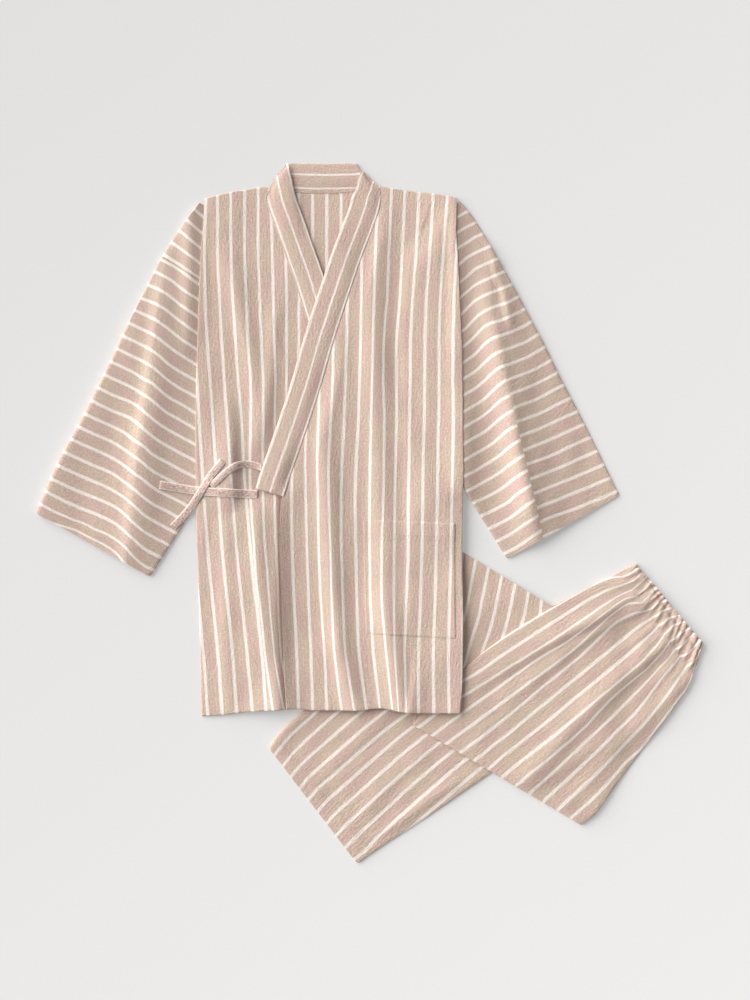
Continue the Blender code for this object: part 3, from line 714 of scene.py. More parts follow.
# %% Melange of the ground
PATCH = Grain(0.024, 0.050, 2.0)  # where pinkish yarns give way to sandy ones
TUFT = Grain(0.009, 0.020, 2.0)  # greenish clouds
SPECK = Grain(0.0019, 0.0024, 3.0, 0.65)
GREEN_CLOUDS = 0.6
GREEN_SPECKS = 0.55
PALE_SPECKS = 0.24


def melange(w, place, speck, tints, speckle):
    """Colour of the ground between the pale stripes."""
    ground = w.mix(w.ramp(w.noise(place, PATCH), 0.40, 0.60), tints.ground, tints.sand)
    ground = w.mix(w.ramp(w.noise(place, TUFT), 0.52, 0.76, 0.0, GREEN_CLOUDS), ground, tints.green)
    ground = w.mix(w.ramp(speck, 0.50, 0.68, 0.0, GREEN_SPECKS * speckle), ground, tints.green)
    return w.mix(w.ramp(speck, 0.50, 0.30, 0.0, PALE_SPECKS * speckle), ground, tints.pale)


print("specks of", 1000 * SPECK.across, "by", 1000 * SPECK.along, "mm")

# %% Relief of crinkle and weave
WEAVE = Grain(0.0005, 0.0007, 0.0)
CRINKLE = Grain(0.0032, 0.0075, 3.0, 0.6)
BUMP_STRENGTH = 0.8


def relief(w, place, streak, depth):
    """Small heights that the light picks out: crinkle, weave and lengthwise streaks."""
    height = w.math("ADD", w.math("MULTIPLY", w.noise(place, CRINKLE), 0.8),
                    w.math("MULTIPLY", w.noise(place, WEAVE), 0.12))
    height = w.math("ADD", height, w.math("MULTIPLY", streak, 0.2))
    bump = w.tree.nodes.new("ShaderNodeBump")
    bump.inputs["Strength"].default_value = BUMP_STRENGTH
    bump.inputs["Distance"].default_value = depth
    w.join(height, bump.inputs["Height"])
    return bump.outputs[0]


print("crinkles of", 1000 * CRINKLE.across, "by", 1000 * CRINKLE.along, "mm")

# %% Sorts of cotton
STREAK = Grain(0.0026, 0.060, 2.0)
YARN = Grain(0.0009, 0.006, 1.0)
NAP = {"Specular IOR Level": 0.25, "Sheen Weight": 0.12, "Sheen Roughness": 0.5}
Tints = namedtuple("Tints", "ground sand green pale")
SET_TINTS = Tints((0.636, 0.437, 0.386, 1), (0.626, 0.478, 0.378, 1), (0.492, 0.420, 0.342, 1),
                  (0.925, 0.835, 0.768, 1))
TIE_TINTS = Tints((0.66, 0.45, 0.40, 1), (0.68, 0.50, 0.44, 1), (0.38, 0.27, 0.23, 1), (0.90, 0.80, 0.74, 1))


def cotton(name, tints, half_width=0.108, edge=0.040, crinkle=0.0020, speckle=1.7, grain=1.0):
    """Striped cotton; half_width and edge of its stripes are shares of the pitch, crinkle is in metres."""
    w = Wiring(name)
    count, place = woven_place(w)
    streak, thread, speck = w.noise(place, STREAK), w.noise(place, YARN), w.noise(place, SPECK, grain)
    pale = pale_share(w, count, place, thread, half_width, edge)
    pale = w.math("MULTIPLY", pale, w.ramp(speck, 0.40, 0.75, 1.0, 0.70))
    cloth = w.mix(pale, melange(w, place, speck, tints, speckle), tints.pale)
    shade = w.ramp(streak, 0.25, 0.75, 0.955, 1.035, smooth=False)
    shade = w.math("MULTIPLY", shade, w.ramp(thread, 0.25, 0.75, 0.96, 1.04, smooth=False))
    shades = w.node("CombineXYZ", shade, shade, shade)
    w.join(w.node("VectorMath", cloth, shades, operation="MULTIPLY"), w.shader.inputs["Base Color"])
    w.join(relief(w, place, streak, crinkle), w.shader.inputs["Normal"])
    w.join(w.ramp(thread, 0.2, 0.8, 0.82, 0.97), w.shader.inputs["Roughness"])
    for socket, value in NAP.items():
        w.shader.inputs[socket].default_value = value
    return w.material


STRIPED = cotton("crinkled_stripe", SET_TINTS)
COLLAR = cotton("collar_stripe", SET_TINTS, half_width=0.075, edge=0.03)
PLAIN = cotton("tie_cloth", TIE_TINTS, half_width=0.13, edge=0.06, crinkle=0.0012, speckle=3.0, grain=1.9)
print("cottons:", [m.name for m in (STRIPED, COLLAR, PLAIN)])

# %% Sewing thread
TWIST = Grain(0.0004, 0.0004, 1.0)
THREAD_TINTS = (0.60, 0.47, 0.39, 1), (0.74, 0.60, 0.51, 1)


def thread_finish():
    w = Wiring("sewing_thread")
    twist = w.noise(w.node("TexCoord", out=3), TWIST)
    w.join(w.mix(w.ramp(twist, 0.3, 0.7), *THREAD_TINTS), w.shader.inputs["Base Color"])
    w.join(w.ramp(twist, 0.3, 0.7, 0.55, 0.75), w.shader.inputs["Roughness"])
    return w.material


THREAD = thread_finish()
print("thread:", THREAD.name)

# %% [markdown]
# ## The lower leg
# The wearer's right leg lies underneath everything.  It is a tube pressed flat, with soft turned sides.
# Its section is worked out once: a half circle at each side, a top and a bottom wall.  Rows of it along
# the leg make the tube.

# %% Section of a flat tube
SECTION = 200  # width at which a section is worked out, where rows differ in width


def tube_section(width, top_step, bottom_step, turn_points=5):
    """Matching outer and inner loops of (place, height), and how far each point is on the top."""
    radius = TUBE / 2
    turn = np.linspace(-pi / 2, pi / 2, turn_points)
    top = np.linspace(radius, width - radius, int((width - TUBE) / top_step) + 2)[1:-1]
    bottom = np.linspace(width - radius, radius, int((width - TUBE) / bottom_step) + 2)[1:-1]
    loops = []
    for r in (radius, radius - CLOTH):
        left = np.stack([radius - r * np.cos(turn), radius + r * np.sin(turn)], -1)
        right = np.stack([width - radius + r * np.cos(turn[::-1]), radius + r * np.sin(turn[::-1])], -1)
        high = np.stack([top, np.full_like(top, radius + r)], -1)
        low = np.stack([bottom, np.full_like(bottom, radius - r)], -1)
        loops.append(np.concatenate([left, high, right, low]))
    on_top = np.clip(loops[0][:, 1] / TUBE, 0, 1)
    return loops[0], loops[1], on_top


print("a section of", len(tube_section(SECTION, 4, 8)[0]), "points")

# %% Rows between the charted ones
ROW_SPREAD = 0.42  # how softly a side bends, as a share of the way between two rows
ROW_STEP = 0.05  # from one point of a side to the next, as such a share


def span_rows(spans, step):
    """Spans again, closely spaced along their middle line, with rounded sides, and each one's row number."""
    table = np.array(spans, float)
    far = path_length((table[:, :2] + table[:, 2:]) / 2)
    at = steps(far[-1], step) * far[-1]
    row = np.interp(at, far, np.arange(len(spans)))
    fine = [curve(soft_line(list(enumerate(values)), ROW_SPREAD, ROW_STEP), row) for values in table.T]
    return np.stack(fine, -1), row, at


def between_sides(fine, place):
    """Points at a share of the way from the left end of each row to its right end."""
    return blend(fine[:, :1], fine[:, 2:3], place), blend(fine[:, 1:2], fine[:, 3:], place)


print("rows 4 mm apart on the lower leg:", len(span_rows(LOWER_LEG, 4.0)[0]))

# %% Form of a hem
HEM_RISE = 0.6  # how much a turned-up hem thickens the cloth
HEM_EDGE = 0.9  # over what length that thickness ends
GROOVE_DEPTH = 0.35  # how far the stitching pulls the cloth down
GROOVE_HALF = 1.3
GROOVE_IN = 2.2  # from the stitching to the turned edge inside
CORNER = 4.0  # how far a hem's corners are rounded


def hem_rise(from_edge, depth):
    """Extra height of the doubled cloth of a hem, with a groove where it is stitched."""
    doubled = HEM_RISE / (1 + np.exp(np.clip((from_edge - depth) / HEM_EDGE, -40, 40)))
    return doubled - GROOVE_DEPTH * np.exp(-((from_edge - depth + GROOVE_IN) / GROOVE_HALF) ** 2)


def rounded_corners(width, from_edge):
    """Where each point of a row goes, as (place, share), so that the row narrows near a hem."""
    missing = np.clip(CORNER - from_edge, 0, CORNER)
    inset = (CORNER - np.sqrt(CORNER ** 2 - missing ** 2)) / width
    return inset[:, None], 1 - 2 * inset[:, None]


sample = hem_rise(np.array([0.0, 12.0, 30.0]), 24)
print("a 24 mm hem adds", sample.round(2), "mm at 0, 12 and 30 mm from its edge")

# %% Form of a flat tube
TUBE_STEP = 4.0  # between the points that show
UNDER_STEP = 14.0  # between those of the wall below
NO_HEM = 99  # farther from an edge than any hem reaches


def flat_tube(spans, rise, hem=None):
    """Loops of a flat tube along spans; rise(x, y, place) lifts its upper wall.  hem is the depth of
    the hem at the last row, or at the first one where it is negative."""
    fine, row, at = span_rows(spans, TUBE_STEP)
    widths = np.hypot(fine[:, 2] - fine[:, 0], fine[:, 3] - fine[:, 1])
    outer, inner, on_top = tube_section(widths.mean(), TUBE_STEP, UNDER_STEP)
    from_edge = 0 * at + NO_HEM
    if hem:
        from_edge = at[-1] - at if hem > 0 else at
    inset, share = rounded_corners(widths, from_edge)
    loops = []
    for loop in (outer, inner):
        place = loop[:, 0][None, :] / widths.mean() * share + inset
        x, y = between_sides(fine, place)
        if loop is outer:
            lift = rise(x, y, place)
            if hem:
                lift = lift + hem_rise(from_edge, abs(hem))[:, None]
            lift = np.maximum(lift, 0) * on_top
            grid = x, y, place, row[:, None] + 0 * place
        loops.append(np.stack([x, y, loop[:, 1] + lift], -1))
    return loops[0], loops[1], grid, at[:, None] * MM + 0 * lift


print("points every", TUBE_STEP, "mm on top and every", UNDER_STEP, "mm below")

# %% Lay the lower leg
LOWER_LEG_FOLDS = [
    Fold([(3, -478, 0), (44, -449, 2.2), (87, -417, 2.4), (124, -392, 2)], 10, 7),
    Fold([(-102, -417, 0), (-58, -373, 1.6), (3, -315, 1.8), (36, -283, 1)], 16, 9),
    Fold([(-44, -478, 0), (7, -417, 1.6), (58, -366, 1.6), (102, -333, 1)], 16, 8),
    Fold([(-142, -338, 1.5), (-112, -305, 3), (-86, -279, 2)], 9, 13),
]
LOWER_LEG_CREASES = [Ridge(-95, -420, 10, -345, 7, 9, 0.9), Ridge(-60, -330, 60, -265, 9, 8, 0.8),
                     Ridge(10, -430, 90, -375, 8, 7, 0.9), Ridge(-130, -360, -100, -400, 6, 6, 0.7)]
LOWER_LEG_STRIPES = [Stripes(0, 0, [.06, .156, .247, .346, .443, .548, .649, .753, .858, .962]),
                     Stripes(1, 0, [.068, .157, .245, .342, .439, .539, .639, .745, .848, .958]),
                     Stripes(2, 0, [.064, .155, .246, .341, .438, .533, .63, .726, .828, .921]),
                     Stripes(3, 0, [.065, .147, .239, .33, .42, .512, .604, .694, .788, .88]),
                     Stripes(4, 0, [.04, .128, .219, .305, .398, .486, .577, .667, .758, .85])]
LOWER_LEG_PITCH = 0.1  # share of the leg's width between stripes, past the charted ones
LEG_HEM = 24


def lower_leg_rise(x, y, place):
    return folds_at(x, y, LOWER_LEG_FOLDS) + ridges_at(x, y, LOWER_LEG_CREASES) + crinkled(x, y, 12, 26, 11)


outer, inner, (x, y, place, row), along = flat_tube(LOWER_LEG, lower_leg_rise, -LEG_HEM)
count = charted(place, row, LOWER_LEG_STRIPES, LOWER_LEG_PITCH)
lower_leg = add_tube("lower_leg_cloth", outer, inner, np.stack([count, along], -1), STRIPED)
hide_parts("leg_lower")

# %% [markdown]
# ## The upper leg, turned back under itself
# The other leg lies on top.  It runs down from the waist, folds round a line and comes back underneath,
# so its hem peeps out above.  One tube follows all three stretches.  Its rows first go down the leg,
# then turn half round the fold line, and then run back.  Gathers fan out from the waist seam.

# %% Gathers at the waist seam
Gather = namedtuple("Gather", "place length height")
GATHERS = [Gather(0.075, 50, 1.2), Gather(0.14, 22, 1.2), Gather(0.20, 95, 1.7), Gather(0.27, 26, 1.3),
           Gather(0.335, 60, 1.7), Gather(0.41, 20, 1.3), Gather(0.48, 120, 2.0), Gather(0.56, 30, 1.4),
           Gather(0.64, 70, 1.7), Gather(0.71, 24, 1.2), Gather(0.785, 90, 1.8), Gather(0.865, 32, 1.3),
           Gather(0.945, 60, 1.4)]
GATHER_WIDTH = 5.5
GATHER_SPREAD = 90  # a gather is twice as wide this far below the waist
PUCKER = 1.5  # height of the short puckers at the stitch line
PUCKER_LENGTH = 8
FOLD_LINE = UPPER_LEG[-1]
FOLD_LENGTH = np.hypot(FOLD_LINE.right_x - FOLD_LINE.left_x, FOLD_LINE.right_y - FOLD_LINE.left_y)


def gathered(place, from_waist, count):
    """Height of the gathers: long ones from the table, and a short pucker at each stripe."""
    height = PUCKER * (1 + np.cos(2 * pi * count)) / 2 * np.exp(-(from_waist / PUCKER_LENGTH) ** 2)
    for gather in GATHERS:
        fan = GATHER_WIDTH * (1 + from_waist / GATHER_SPREAD)
        height += gather.height * np.exp(-((place - gather.place) * FOLD_LENGTH / fan) ** 2
                                         - (from_waist / gather.length) ** 2)
    return height


print(len(GATHERS), "long gathers at the waist")

# %% Folds of the upper leg
UPPER_LEG_FOLDS = [
    Fold([(335, -382, 0), (386, -320, 0.9), (440, -260, 1.2), (466, -225, 1)], 14, 16),
    Fold([(146, -260, 1), (185, -234, 2.5), (233, -205, 3), (271, -183, 4.5), (313, -161, 5.5),
          (347, -142, 4.5), (376, -126, 2)], 24, 7),
    Fold([(146, -308, 0), (218, -257, 2), (259, -225, 2.5), (298, -193, 3), (344, -161, 4),
          (395, -135, 3.5), (415, -123, 1.5)], 16, 7),
    Fold([(226, -405, 2), (240, -388, 2.3), (284, -330, 2.7), (328, -286, 3.1), (371, -242, 4),
          (415, -199, 3.8), (434, -180, 2)], 24, 10),
    Fold([(335, -111, 0), (364, -106, 1.4), (400, -92, 1.4)], 10, 7),
    Fold([(189, -426, 1), (248, -359, 2), (306, -293, 2.2), (352, -245, 2.5), (393, -206, 1.5)], 14, 9),
    Fold([(277, -435, 1), (335, -366, 1.7), (393, -304, 1.7), (440, -257, 1)], 12, 9),
]
UPPER_LEG_CREASES = [Ridge(335, -110, 402, -112, 5, 6, -1.1), Ridge(277, -126, 408, -165, 6, 8, -1.2),
                     Ridge(392, -200, 424, -230, 5, 7, -1.2), Ridge(250, -240, 150, -330, 9, 7, 0.9),
                     Ridge(210, -190, 120, -270, 8, 9, 0.8), Ridge(340, -330, 240, -400, 8, 7, 0.9),
                     Ridge(180, -300, 110, -380, 9, 8, 0.8), Ridge(300, -280, 230, -330, 7, 9, 0.8)]


def upper_leg_lift(x, y, place, from_waist, count):
    """Height of everything that is folded into the upper leg's front wall."""
    lift = folds_at(x, y, UPPER_LEG_FOLDS) + gathered(place, from_waist, count)
    lift += ridges_at(x, y, UPPER_LEG_CREASES) + crinkled(x, y, 12, 26, 12)
    return np.maximum(lift, 0)


print(len(UPPER_LEG_FOLDS), "long folds and", len(UPPER_LEG_CREASES), "creases on the upper leg")

# %% Stripes of the upper leg
UPPER_LEG_STRIPES = [
    Stripes(0, -2, [.046, .105, .170, .232, .297, .374, .441, .521, .604, .673, .750, .817, .912, .990]),
    Stripes(1, -1, [.089, .153, .190, .228, .318, .416, .511, .600, .665, .732, .788, .885, .987]),
    Stripes(3, -1, [.068, .157, .200, .238, .294, .424, .521, .621, .680, .738, .798, .903, .981]),
    Stripes(5, -1, [.080, .172, .230, .292, .347, .431, .523, .613, .657, .743, .826, .908, .985]),
    Stripes(6, -1, [.083, .171, .213, .297, .354, .437, .521, .608, .662, .742, .817, .902, .991]),
    Stripes(7, -1, [.076, .155, .207, .288, .352, .431, .515, .599, .674, .731, .812, .895, .966]),
    Stripes(8, -1, [.067, .135, .195, .276, .348, .421, .503, .584, .660, .720, .800, .885, .961]),
    Stripes(9, -1, [.010, .085, .161, .242, .323, .395, .473, .554, .633, .703, .781, .865, .945]),
    Stripes(10, -1, [-.03, .052, .131, .213, .297, .372, .447, .528, .609, .685, .763, .844, .928]),
    Stripes(11, -1, [-.05, .034, .115, .196, .282, .364, .446, .527, .609, .689, .771, .855, .934])]
TURNED_MARKS = [
    Mark(0, 153.6, -67.7), Mark(0, 145.6, -111.4), Mark(0, 139.8, -143.4),
    Mark(1, 172.5, -77.9), Mark(1, 163.1, -121.6), Mark(1, 151.4, -169.6), Mark(1, 139.8, -213.3),
    Mark(2, 191.5, -89.5), Mark(2, 184.9, -125.9), Mark(2, 174.7, -169.6), Mark(2, 163.1, -200.2),
    Mark(3, 211.1, -99.7), Mark(3, 202.4, -143.4), Mark(3, 192.2, -181.3),
    Mark(4, 230, -112.8), Mark(4, 224.2, -147.8), Mark(4, 219.9, -162.3),
    Mark(5, 249.7, -124.5), Mark(5, 247.5, -143.4)]
UPPER_LEG_PITCH = 0.08  # share of the leg's width between stripes, past the charted ones
TURNED_STIFFNESS = 0.04
print("rows with charted stripes:", len(UPPER_LEG_STRIPES), "and marks on the turned end:", len(TURNED_MARKS))

# %% Rows down the leg, round the fold and back
FOLD_RADIUS = SEAM / 2  # inside radius where the leg turns under
FOLD_STEPS = 10
down_rows, down_row, down_at = span_rows(UPPER_LEG, 4.0)
back_rows, back_row, back_at = span_rows(TURNED_LEG, 4.5)
part_turns = np.linspace(0, 1, FOLD_STEPS + 1)[1:-1]
turn_rows = np.array([FOLD_LINE] * len(part_turns), float)
last = len(UPPER_LEG) - 1
fine = np.concatenate([down_rows, turn_rows, back_rows])
turn = np.concatenate([0 * down_at, pi * part_turns, pi + 0 * back_at])[:, None]
row = np.concatenate([down_row, last + part_turns, last + 1 + back_row])[:, None]
far = np.concatenate([down_at, down_at[-1] + 0 * part_turns, down_at[-1] + back_at])[:, None]
print(len(down_at), "rows down,", len(part_turns), "round the fold and", len(back_at), "back")

# %% Lay the upper leg
FLAT_BEFORE_FOLD = 12  # the folds die out over this length before the leg turns
HIDDEN_PAST_FOLD = 20  # this far back the turned end is still flat, and as far on it is crinkled
line_x, line_y = FOLD_LINE.right_x - FOLD_LINE.left_x, FOLD_LINE.right_y - FOLD_LINE.left_y
out_x, out_y = line_y / FOLD_LENGTH, -line_x / FOLD_LENGTH
outer, inner, on_top = tube_section(SECTION, 3.5, 6.0)
made = []
for loop in (outer, inner):
    place = loop[:, 0][None, :] / SECTION + 0 * row
    x, y = between_sides(fine, place)
    if loop is outer:
        rows = row + 0 * place
        count = charted(place, rows, UPPER_LEG_STRIPES, UPPER_LEG_PITCH)
        fading = np.clip((down_at[-1] - far) / FLAT_BEFORE_FOLD, 0, 1)
        lift = upper_leg_lift(x, y, place, far, count) * on_top * (turn == 0) * fading
        shown = crinkled(x, y, 12, 26, 13) + hem_rise(far[-1] - far, LEG_HEM)
        fading = np.clip((far - down_at[-1] - HIDDEN_PAST_FOLD) / HIDDEN_PAST_FOLD, 0, 1)
        lift += np.maximum(shown, 0) * (1 - on_top) * (turn == pi) * fading
        turned_count = plate(x, y, TURNED_MARKS, TURNED_STIFFNESS)
        count = np.where((rows <= last) | (on_top > 0.5), count, turned_count)
    radius = FOLD_RADIUS + loop[:, 1][None, :]
    z = ground(x, y) + TUBE + FOLD_RADIUS + radius * np.cos(turn)
    z -= np.where(turn == 0, LAYER * (1 - turned_leg_under(x, y, LEG_SPREAD)), 0)
    push = radius * np.sin(turn)
    made.append(np.stack([x + out_x * push, y + out_y * push, z + lift], -1))
uv = np.stack([count, far * MM + 0 * count], -1)
upper_leg = add_tube("upper_leg_cloth", made[0], made[1], uv, STRIPED)
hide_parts("leg_upper")

# %% [markdown]
# ## The gathered waist
# The waist is a casing of doubled cloth round an elastic.  Pressed flat and folded in half with the
# legs, it has four layers.  Its heading stands up in ruffles that are never quite alike, so both their
# spacing and their height wander.  Its stripes are those of the legs, which run on to its edge, and
# the ruffles follow them.  The stitch line that holds the elastic shows as a row of small puckers.

# %% Section of the casing
WAVE_POINTS = 190  # points along the ruffled layer
PLAIN_POINTS = 10  # points along each of the others


def casing_loops(width):
    """Outer and inner loop of the four layers, as places, heights and what is ruffled."""
    def across(start, end, z, count=PLAIN_POINTS, ruffled=0.0):
        return [(p / width, z, ruffled) for p in np.linspace(start, end, count)]

    def upright(place, low, high):
        return [(place / width, low, 0.0), (place / width, high, 0.0)]

    top, nested = LAYER + TUBE, width - TUBE
    outer = across(1, width - 1, top, WAVE_POINTS, 1.0) + upright(width, top - CLOTH, CLOTH)
    outer += across(width - 1, 1, 0) + upright(0, CLOTH / 2, TUBE - CLOTH / 2)
    outer += across(1, nested, TUBE) + across(nested, 1, LAYER)
    outer += upright(0, LAYER + CLOTH / 2, top - CLOTH / 2)
    left, right = CLOTH, width - CLOTH
    inner = across(left + 1, right, top - CLOTH, WAVE_POINTS, 1.0)
    inner += upright(right, top - CLOTH - SEAM / 2, CLOTH + SEAM / 2)
    inner += across(right - 1, left + 1, CLOTH)
    inner += upright(left, CLOTH + SEAM / 3, CLOTH + SEAM * 2 / 3)
    inner += across(left + 1, right - SEAM, CLOTH + SEAM)
    inner += across(right - SEAM, left + 1, LAYER + CLOTH)
    inner += upright(left, LAYER + CLOTH + SEAM / 3, LAYER + CLOTH + SEAM * 2 / 3)
    return np.array(outer), np.array(inner)


print("the casing's section has", len(casing_loops(SECTION)[0]), "points")

# %% Ruffles and puckers
RUFFLES = 15  # along the elastic
RUFFLE_HEIGHT = 3.2
VALLEY_HALF = 0.19  # half width of the valley between two ruffles, as a share of a ruffle
RUFFLE_SIZES = (0.25, 1.5)  # smallest and largest, as shares of the usual one
RUFFLE_WANDER = 0.35  # how far a ruffle strays from its even place, and from its usual size
PUCKER_HEIGHT = 2.4
PUFF = 1.6  # how far the casing puffs up beside its stitch line
STITCH_LINE = 0.67  # how far down the casing ends and the legs begin
PIT_HALF = 0.065  # half width of the pits along the elastic, as a share of the casing
PIT_DEPTH = 0.4
PIT_FLATTENS = (0.45, 0.95)  # share of the height that a pit takes away, on a ruffle and in a valley
PUCKERED = 0.06  # this far below the elastic the puckers have their full height
LEG_TAKES_OVER = 0.4  # and over this share of the casing the leg's folds take over from them
# How far down the elastic lies at each place across
HEADING = [(0, 0.0), (0.13, 0.02), (0.25, 0.05), (0.35, 0.10), (0.45, 0.15), (0.6, 0.20), (1, 0.21)]


def ruffles(place, down):
    """Each point's place in its ruffle, that ruffle's size, and how deep the point is in a valley."""
    phase = place * RUFFLES + RUFFLE_WANDER * rumple(place * 100, down * 12, 9, 9, 21)
    size = np.clip(0.85 + RUFFLE_WANDER * rumple(place * 100, down * 8, 6, 9, 22), *RUFFLE_SIZES)
    return phase, size, np.exp(-((phase % 1 - 0.5) / VALLEY_HALF) ** 2)


def waist_lift(from_elastic, phase, size, valley, leg):
    """Height of the heading, of the puckers, and of the leg's folds that take over from them."""
    heading = RUFFLE_HEIGHT * size * (1 - valley)
    pucker = PUCKER_HEIGHT * size * (1 + np.cos(2 * pi * phase)) / 2
    merge = eased(np.clip((from_elastic - PUCKERED) / LEG_TAKES_OVER, 0, 1))
    lift = np.where(from_elastic < 0, heading, blend(pucker, leg, merge)) + PUFF * (1 - merge)
    pit = np.exp(-(from_elastic / PIT_HALF) ** 2)
    return lift * (1 - pit * blend(*PIT_FLATTENS, valley)) - PIT_DEPTH * pit


phase, size, valley = ruffles(np.linspace(0, 1, 200), np.zeros(200))
print("ruffle sizes from", round(float(size.min()), 2), "to", round(float(size.max()), 2))

# %% Ruffled edge
EDGE_BITE = 2.6  # how far the edge draws in at a valley
EDGE_DRAW = 0.6  # how far the ruffled layer lies behind the ones below
EDGE_WAVE = 1.2  # and how far the edges of those wander
EDGE_REACH = 0.05  # how far down this goes, as a share of the casing
SIDE_REACH = 0.03  # ruffles die out this near to a side, as a share of the width


def edge_push(down, phase, size, valley, shown, inside):
    """How far the top edge is pushed out, or drawn in where negative."""
    near_edge = np.exp(-down / EDGE_REACH)
    push = -(EDGE_BITE * valley * size + EDGE_DRAW * shown) * near_edge * inside
    return push - (1 - shown) * (EDGE_WAVE + np.sin(2 * pi * phase)) * near_edge


print("the edge draws in by up to", EDGE_BITE * RUFFLE_SIZES[1] + EDGE_DRAW, "mm")

# %% Lay the waistband
WAIST_TOP = Span(387, -72, 485.5, -189)
WAIST_SEAM = Span(351.2, -91, 462.9, -256.6)
CASING_ROWS = np.concatenate([[0, 0.008], np.arange(0.02, 0.28, 0.02), np.linspace(0.28, STITCH_LINE, 8)])
CASING_LENGTH = 0.04  # metres of cloth from its edge to the waist seam
CASING_STRIPES = [
    Stripes(0.12, -2, [.048, .105, .165, .225, .302, .434, .520, .609, .686, .769, .839, .932, .983]),
    Stripes(0.33, -2, [.053, .118, .17, .233, .308, .401, .472, .557, .630, .721, .808, .894, .978]),
    Stripes(0.5, -2, [.054, .114, .17, .228, .299, .393, .466, .546, .619, .710, .790, .871, .954, .987]),
    Stripes(0.67, -2, [.046, .105, .170, .232, .297, .374, .441, .521, .604, .673, .750, .817, .912, .990])]
run_x, run_y = WAIST_TOP.right_x - WAIST_TOP.left_x, WAIST_TOP.right_y - WAIST_TOP.left_y
out_x, out_y = -run_y / np.hypot(run_x, run_y), run_x / np.hypot(run_x, run_y)
made, counts = [[], []], []
for down in CASING_ROWS:
    edge = Span(*[blend(top, seam, down) for top, seam in zip(WAIST_TOP, WAIST_SEAM)])
    width = np.hypot(edge.right_x - edge.left_x, edge.right_y - edge.left_y)
    for side, loop in enumerate(casing_loops(width)):
        place, shown = loop[:, 0], loop[:, 2]
        row = np.full_like(place, down)
        count = charted(place, row, CASING_STRIPES, UPPER_LEG_PITCH)
        x, y = blend(edge.left_x, edge.right_x, place), blend(edge.left_y, edge.right_y, place)
        phase, size, valley = ruffles(place, row)
        leg = upper_leg_lift(x, y, place, 0.0, count)
        inside = np.clip(np.minimum(place, 1 - place) / SIDE_REACH, 0, 1) * shown
        z = loop[:, 1] + waist_lift(down - curve(HEADING, place), phase, size, valley, leg) * inside
        push = edge_push(down, phase, size, valley, shown, inside)
        made[side].append(np.stack([x + out_x * push, y + out_y * push, z], -1))
        if side == 0:
            counts.append(count)
outer, inner = (np.array(rows) for rows in made)
uv = np.stack([np.array(counts), CASING_ROWS[:, None] * -CASING_LENGTH + 0 * outer[..., 0]], -1)
waistband = add_tube("waistband_cloth", outer, inner, uv, STRIPED)
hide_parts("waistband")

# %% [markdown]
# ## The jacket's body
# The back lies at the bottom and the two fronts on it, the left one uppermost.  A panel's points are
# evenly spaced between its two side edges, and its top and bottom rows follow the shoulder line and the
# hem.  The back is one plain panel, since it only shows at the neck.

# %% Points of a body panel
SHOULDER = soft_line(SHOULDER_LINE, 4)
HEM = soft_line(HEM_LINE, 8)
BODY_HEIGHT = BODY_TOP - BODY_HEM
SETTLE = 6  # rounds that fit a row's points to the side edges


def body_grid(sides, width, step):
    """Points of a body panel, and how far each is from its hem; width only sets how many there are."""
    down, place = np.meshgrid(steps(BODY_HEIGHT, step), steps(width, step), indexing="ij")
    y_row = blend(BODY_TOP, BODY_HEM, down)
    y = y_row.copy()
    for _ in range(SETTLE):
        x = blend(curve(sides[0], y), curve(sides[1], y), place)
        y = y_row + blend(curve(SHOULDER, x) - BODY_TOP, curve(HEM, x) - BODY_HEM, down)
    return x, y, (1 - down) * BODY_HEIGHT


print("body panels are", BODY_HEIGHT, "mm high between their straight ends")

# %% Lay the back
BACK_WIDTH = 370
BACK_STEP = 7.0
BACK_STRIPES = [Stripes(0, 0, [-83.5, -63, -42])]
x, y, _ = body_grid(BACK_SIDES, BACK_WIDTH, BACK_STEP)
free = 0.25 * (rumple(x, y, 25, 60, 31) + 1.5)  # uneven where nothing lies below
under = trousers_under(x, y) + free * (y > 0)
under = laid_over(x, y, under)
uv = np.stack([charted(x, y, BACK_STRIPES), y * MM], -1)
back = add_sheet("back_cloth", x, y, under, CLOTH, uv, STRIPED)
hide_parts("back_body")

# %% [markdown]
# ## Sleeves and dropped shoulders
# The cloth of a sleeve runs across the body's, so its stripes cross the sleeve and bend where it falls
# into folds.  Their marks are scattered, so a thin plate is bent through them.  On the wearer's left
# sleeve one fold laps over, and the stripes jump there.  So each side of the lap has its own marks, and
# above the top of the lap both sides share theirs.

# %% Outlines of the sleeves and shoulders
RIGHT_SHOULDER = [Span(-248, 452, -241, 448), Span(-262, 433, -240, 422), Span(-280, 411, -240, 389),
                  Span(-302.7, 373.4, -240, 336.3)]
LEFT_SHOULDER = [Span(131, 454, 124, 449), Span(146, 438, 124, 425), Span(165, 408, 124, 385),
                 Span(185.8, 372.2, 124, 335.2)]
RIGHT_SLEEVE = [Span(-303, 373, -240, 336), Span(-320, 340, -240, 295), Span(-338, 302, -240, 251),
                Span(-360, 261, -240, 193), Span(-376, 223, -240, 151), Span(-397, 183, -240, 95),
                Span(-416, 143, -241, 52), Span(-437, 106, -250, 15), Span(-456, 71, -275, -22),
                Span(-470, 38, -297, -57), Span(-486, 1, -320, -92)]
LEFT_SLEEVE = [Span(186, 372, 124, 335), Span(205, 337, 124, 292), Span(220, 311, 124, 258),
               Span(234, 282, 124, 223), Span(255, 245, 124, 175), Span(272, 207, 124, 130),
               Span(293, 168, 125, 81), Span(313, 129, 132, 40), Span(332, 91, 154, 7),
               Span(349, 55, 179, -33), Span(363, 27, 199, -66)]
print("rows charted across the sleeves:", len(RIGHT_SLEEVE), "and", len(LEFT_SLEEVE))

